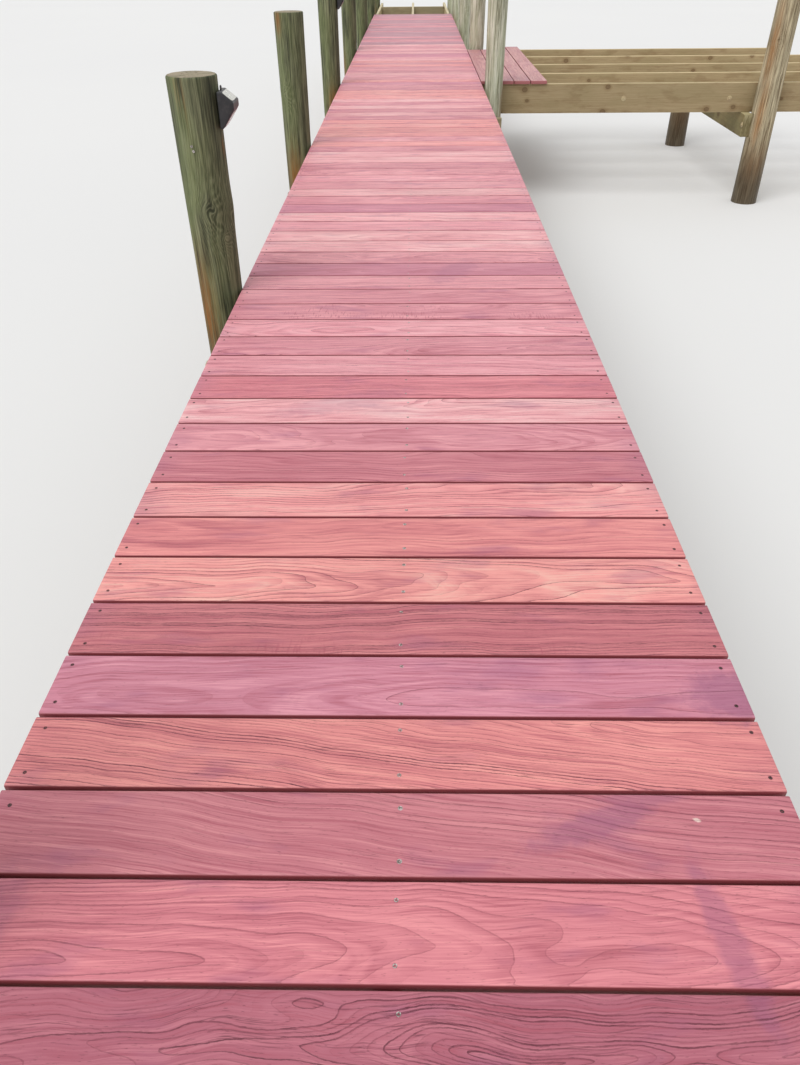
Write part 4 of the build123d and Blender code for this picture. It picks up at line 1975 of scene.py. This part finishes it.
@dataclass
class PileLight:
    """A wedge-shaped light: flat-backed black housing, glazed brow and a lens under the nose."""

    number: int
    plastic: Material
    glazing: Material
    lens: Material
    rounding: float = 0.004
    foot: float = 0.009
    flat_top: float = 0.012
    brow_drop: float = 0.031
    nose: float = 0.021
    panel_margin: float = 0.0045
    lens_margin: float = 0.009
    glass_rise: float = 0.0019
    lens_rise: float = 0.0013
    frame_margins: tuple[float, float] = (0.0018, 0.003)
    frame_rises: tuple[float, float] = (0.0013, 0.00078)
    bevel: float = 0.0018
    rows: int = 21
    hook_half: tuple[float, float] = (0.0026, 0.0075)
    hook_from_back: float = 0.0065

    def outline(self, depth: float, height: float, inset: float) -> np.ndarray:
        """The housing's side outline with round corners, inset on all sides.

        Each corner of the plain outline becomes an arc of points between its two edges, which a
        quadratic curve joins: (1-t)^2 of the start, 2t(1-t) of the corner and t^2 of the end.

        Args:
            depth: How far the nose stands out.
            height: The housing's height.
            inset: Distance that the outline shrinks.

        Returns:
            Points as depth and height, in order round the outline.
        """
        brow = height - self.brow_drop
        front = [(self.foot, 0), (depth, brow - self.nose), (depth, brow), (self.flat_top, height)]
        corners = np.array([(0.0, 0.0), *front, (0.0, height)])
        middle = corners.mean(axis=0)
        corners = middle + (corners - middle) * (1 - inset / np.array([depth / 2, height / 2]))
        rounding = np.array([0.4, 0.6, 1.0, 1.0, 0.6, 0.4])[:, None] * self.rounding
        ways = [np.roll(corners, step, axis=0) - corners for step in (1, -1)]
        start, end = (
            corners + way / np.linalg.norm(way, axis=1, keepdims=True) * rounding for way in ways
        )
        t = np.linspace(0, 1, 5)[None, :, None]
        arcs = (1 - t) ** 2 * start[:, None] + 2 * t * (1 - t) * corners[:, None]
        return (arcs + t**2 * end[:, None]).reshape(-1, 2)

    def housing(self, box: Box) -> Surface:
        """The housing: its outline carried along Y, with bevelled cheeks.

        Args:
            box: The housing's box in the frame.

        Returns:
            The closed surface.
        """
        depth, width, height = box.size
        end, bevel, third = width / 2, self.bevel, self.bevel * 0.35
        inner = np.linspace(-end + bevel, end - bevel, self.rows)
        along = same_ends([-end, -end, -end + third], inner, -1)
        insets = same_ends([0.012, bevel, third], np.zeros(self.rows), 1)
        sections = np.stack([self.outline(depth, height, inset) for inset in insets])[:, ::-1]
        y = np.broadcast_to(along[:, None], sections.shape[:2])
        rings = np.stack([sections[..., 0], y, sections[..., 1]], axis=-1)
        return closed_tube(rings).placed((box.low[0], box.middle[1], box.low[2]))

    def plate(self, ends: tuple, half: np.ndarray, rise: float) -> Surface:
        """A thin pillow-edged plate on a slanted face: a squarish ring, lofted over the face.

        Args:
            ends: The upper and lower end of the face's middle line.
            half: Half sides down the slope and along Y.
            rise: The plate's thickness.

        Returns:
            The closed surface, with its place down and across the face as the panel value.
        """
        start, end = ends
        slope = (end - start) / np.linalg.norm(end - start)
        shares = np.array([1.0, 1.0, 0.985, 0.93, 0.6, 0.25])
        heights = np.array([-0.3, 0.4, 0.85, 1.0, 1.0, 1.0]) * rise
        local = lofted(round_outline(40, half, 1 / 3), shares, heights)
        axes = np.array([slope, (0.0, 1.0, 0.0), (-slope[2], 0.0, slope[0])])
        return closed_tube(local @ axes + (start + end) / 2, {"panel": local * (1, 1, 0)})

    def hook(self, box: Box) -> Surface:
        """The hanging tab on the housing's top, near its back: a rounded upright strip.

        Args:
            box: The housing's box in the frame.

        Returns:
            The closed surface.
        """
        levels, shares = [-0.010, 0.0, 0.008, 0.0122, 0.0135], [1.0, 1.0, 1.0, 0.85, 0.6]
        rings = lofted(round_outline(24, self.hook_half, 0.5), shares, levels)
        place = (box.low[0] + self.hook_from_back, box.middle[1], box.high[2])
        return closed_tube(rings).placed(place)

    def build(self) -> None:
        """Builds the housing with its frames, the glazed panel and the lens."""
        body, panel = f"pile_light_{self.number}", f"pile_light_panel_{self.number}"
        box = node_box(body)
        low, high, y = box.low, box.high, box.middle[1]
        brow_top = np.array([low[0] + self.flat_top, y, high[2]])
        brow_foot = np.array([high[0], y, high[2] - self.brow_drop])
        nose_low = brow_foot - (0.0, 0.0, self.nose)
        foot = np.array([low[0] + self.foot, y, low[2]])
        ends = (brow_top, brow_foot), (nose_low, foot)
        margins, rises = (self.panel_margin, self.lens_margin), (self.glass_rise, self.lens_rise)
        half_width = box.size[1] / 2 - self.panel_margin
        shell, covers = [self.housing(box)], []
        for face, margin, rise, *frame_sizes in zip(
            ends, margins, rises, self.frame_margins, self.frame_rises
        ):
            half = np.array([np.linalg.norm(face[1] - face[0]) / 2 - margin, half_width])
            rim = self.plate(face, half + frame_sizes[0], frame_sizes[1])
            shell.append(replace(rim, values={}))
            covers.append(self.plate(face, half, rise))
        shell = joined([*shell, self.hook(box)])
        finished_piece(f"{body}_housing", shell, self.plastic, body)
        finished_piece(f"{panel}_glass", covers[0], self.glazing, panel)
        finished_piece(f"pile_light_lens_{self.number}", covers[1], self.lens)


# The studio


@dataclass
class Camera:
    """The camera at the photograph's angle.

    The focal length and the vanishing points are in pixels of the 800 by 1065 image. The unit
    vector to the walkway's vanishing point is forward along Y. Down is square to it, and its own
    vanishing point has the pixel column given here.
    """

    width: float = 800.0
    height: float = 1065.0
    focal: float = 812.0
    walkway_vanishing: tuple[float, float] = (415.0, -70.0)
    plumb_column: float = 411.0
    right_of_middle: float = 0.03206
    before_deck: float = 0.3375
    above_deck: float = 1.07076
    film: float = 36.0

    def build(self) -> None:
        """Makes the camera and sets it as the scene's."""
        middle = np.array([self.width, self.height]) / 2
        along = np.append((np.array(self.walkway_vanishing) - middle) / self.focal, 1.0)
        along /= np.linalg.norm(along)
        plumb = (self.plumb_column - middle[0]) / self.focal
        down = np.array([plumb, -(along[0] * plumb + along[2]) / along[1], 1.0])
        down /= np.linalg.norm(down)
        axes = np.stack([np.cross(along, -down), along, -down])
        world = np.eye(4)
        world[:3, :3] = axes * (1, -1, -1)
        deck = node_box("deck_boards_bay_1")
        edge = np.array([deck.middle[0], deck.low[1], deck.high[2]])
        world[:3, 3] = edge + (self.right_of_middle, -self.before_deck, self.above_deck)
        lens = bpy.data.cameras.new("photo_camera")
        lens.sensor_fit = "VERTICAL"
        lens.sensor_height = self.film
        lens.lens = self.focal / self.height * self.film
        lens.clip_end = 200
        camera = linked("photo_camera", lens)
        camera.matrix_world = world.T.tolist()
        bpy.context.scene.camera = camera


@dataclass
class Studio:
    """A plain pale floor and background, a large soft sun and an even pale sky."""

    floor_half: float = 120.0
    floor_roughness: float = 0.9
    floor_colours: tuple[Colour, Colour] = (shade(236, 236, 236), shade(240, 240, 239))
    sky_strength: float = 0.62
    sun_strength: float = 1.55
    sun_angle: float = 40.0
    sun_turn: tuple[float, float, float] = (30.0, -28.0, 0.0)

    def build(self) -> None:
        """Builds the floor, the sky and the sun."""
        mesh = bpy.data.meshes.new("studio_floor")
        corners = np.array([(-1, -1, 0), (1, -1, 0), (1, 1, 0), (-1, 1, 0)]) * self.floor_half
        mesh.from_pydata(corners.tolist(), [], [(0, 1, 2, 3)])
        graph = MaterialGraph("studio_floor", Specular_IOR_Level=0.1)
        tone = graph.place().noise((0.15,) * 3)
        colour = graph.coats(self.floor_colours[0], (tone, self.floor_colours[1]))
        mesh.materials.append(graph.finished(colour, self.floor_roughness))
        floor = linked("studio_floor", mesh)
        self.sky()
        sun = bpy.data.lights.new("studio_sun", "SUN")
        sun.energy = self.sun_strength
        sun.angle = math.radians(self.sun_angle)
        lamp = linked("studio_sun", sun)
        lamp.rotation_euler = tuple(math.radians(turn) for turn in self.sun_turn)

    def sky(self) -> None:
        """An even sky that lights at its strength, and looks white to the camera and in gloss."""
        world = bpy.data.worlds.new("studio_sky")
        world.use_nodes = True
        bpy.context.scene.world = world
        graph = Graph(world.node_tree)
        background = world.node_tree.nodes["Background"].inputs
        rays = graph.node("ShaderNodeLightPath").outputs
        camera, *others = (
            Signal(graph, rays[f"Is {kind} Ray"]) for kind in ("Camera", "Glossy", "Transmission")
        )
        seen = camera.at_least(others[0]).at_least(others[1])
        background["Color"].default_value = (1.0, 1.0, 1.0, 1.0)
        strength = seen * (1.0 - self.sky_strength) + self.sky_strength
        graph.feed(background["Strength"], strength)


LEFT_PILE = PileFinish(
    "left_pile_finish",
    body=shade(97, 101, 75),
    pale=shade(146, 150, 116),
    dark=shade(44, 48, 34),
    green=shade(114, 124, 80),
    brown=shade(138, 86, 34),
    green_share=0.7,
    brown_share=0.15,
    line_share=0.6,
)
RIGHT_PILE = PileFinish(
    "right_pile_finish",
    body=shade(190, 191, 167),
    pale=shade(230, 230, 211),
    dark=shade(108, 107, 84),
    green=shade(178, 184, 148),
    brown_share=0.2,
    side_shade=0.1,
)
SIDE_PILE = PileFinish(
    "side_pile_finish",
    body=shade(176, 162, 134),
    pale=shade(224, 208, 174),
    dark=shade(98, 80, 54),
    green=shade(158, 154, 132),
    brown=shade(160, 114, 70),
    green_share=0.35,
    wet=shade(50, 40, 27),
    wet_from=0.85,
    wet_to=0.25,
    side_shade=0.1,
    line_share=0.35,
)
STRINGER = PineFinish(
    "stringer_finish",
    face=shade(196, 178, 138),
    late=shade(168, 140, 98),
    line=shade(128, 100, 66),
    pale=shade(222, 210, 176),
    tint=shade(150, 144, 104),
)
CAP = PineFinish(
    "cap_finish",
    face=shade(168, 154, 122),
    late=shade(140, 122, 90),
    line=shade(104, 88, 62),
    pale=shade(204, 192, 158),
    tint=shade(126, 124, 96),
    # Cap ends: darker end grain with painted shade on the end faces
    end_grain_and_painted_shade=0.9,
)
JOIST = PineFinish(
    "joist_finish",
    face=shade(184, 163, 126),
    late=shade(156, 129, 91),
    line=shade(128, 98, 62),
    pale=shade(214, 196, 154),
    tint=shade(150, 136, 96),
)
JOIST_SHADES = (0.8, 1.0, 0.96, 1.02, 0.98)
BEAM = PineFinish(
    "beam_finish",
    face=shade(148, 134, 94),
    late=shade(126, 110, 76),
    line=shade(96, 82, 54),
    pale=shade(200, 188, 146),
    tint=shade(122, 124, 84),
    wear=0.25,
)
BOLT_STEEL = SteelFinish(
    "bolt_steel_finish",
    bright=shade(206, 190, 152),
    dull=shade(164, 144, 108),
    rust_share=0.4,
    metallic=0.3,
)
DULL_STEEL = SteelFinish(
    "dull_screw_finish",
    bright=shade(92, 62, 62),
    dull=shade(58, 36, 38),
    rust=shade(74, 40, 34),
    metallic=0.2,
)
GLAZING = GlazingFinish(
    "light_glazing_finish", shade(188, 188, 176), shade(216, 214, 200), pitch=0.018, bar_share=0.06
)
# The lens's pinkish ground and lines are a painted reflection of the deck
LENS_PAINTED_REFLECTION = GlazingFinish(
    "lens_painted_reflection_finish", shade(120, 104, 104), shade(188, 168, 166), pitch=0.006, bar_share=0.14
)


def main() -> None:
    """Builds the studio, the finishes and every sub-assembly, in order."""
    bpy.context.scene.view_settings.view_transform = "Standard"
    Camera().build()
    Studio().build()
    effects = Effects()
    deck = DeckFinish().material(effects)
    steel = SteelFinish("screw_steel_finish", rust_share=0.1).material(effects)
    cap, housing = CAP.material(effects), HousingFinish().material()
    stringers = ["stringer_left", "stringer_centre", "stringer_right"]
    cap_planks = [f"cap_planks_{bent}" for bent in BENTS]
    plies = ["side_beam_ply_1", "side_beam_ply_2"]
    stringer, joist, beam = (finish.material(effects) for finish in (STRINGER, JOIST, BEAM))
    assemblies = [
        Deck(deck, steel, DULL_STEEL.material(effects)),
        SideBoards(deck, steel),
        Planks(stringers, True, "stringer_timber", stringer, seed=10, rows=90),
        Planks(cap_planks, False, "cap_timber", cap, seed=11, rows=30),
        Planks(["stringer_blocking"], False, "stringer_timber", cap, seed=12, rows=16),
        Planks(["side_joists"], False, "joist_timber", joist, 13, rows=70, shades=JOIST_SHADES),
        Planks(plies, True, "beam_timber", beam, seed=14),
        WalkwayPiles(LEFT_PILE.material(effects), RIGHT_PILE.material(effects), steel),
        SidePiles(SIDE_PILE.material(effects)),
        Bolts(BOLT_STEEL.material(effects)),
    ]
    glazing, lens = GLAZING.material(effects), LENS_PAINTED_REFLECTION.material(effects)
    assemblies += [PileLight(number, housing, glazing, lens) for number in (1, 2)]
    for assembly in assemblies:
        assembly.build()


if __name__ == "__main__":
    main()
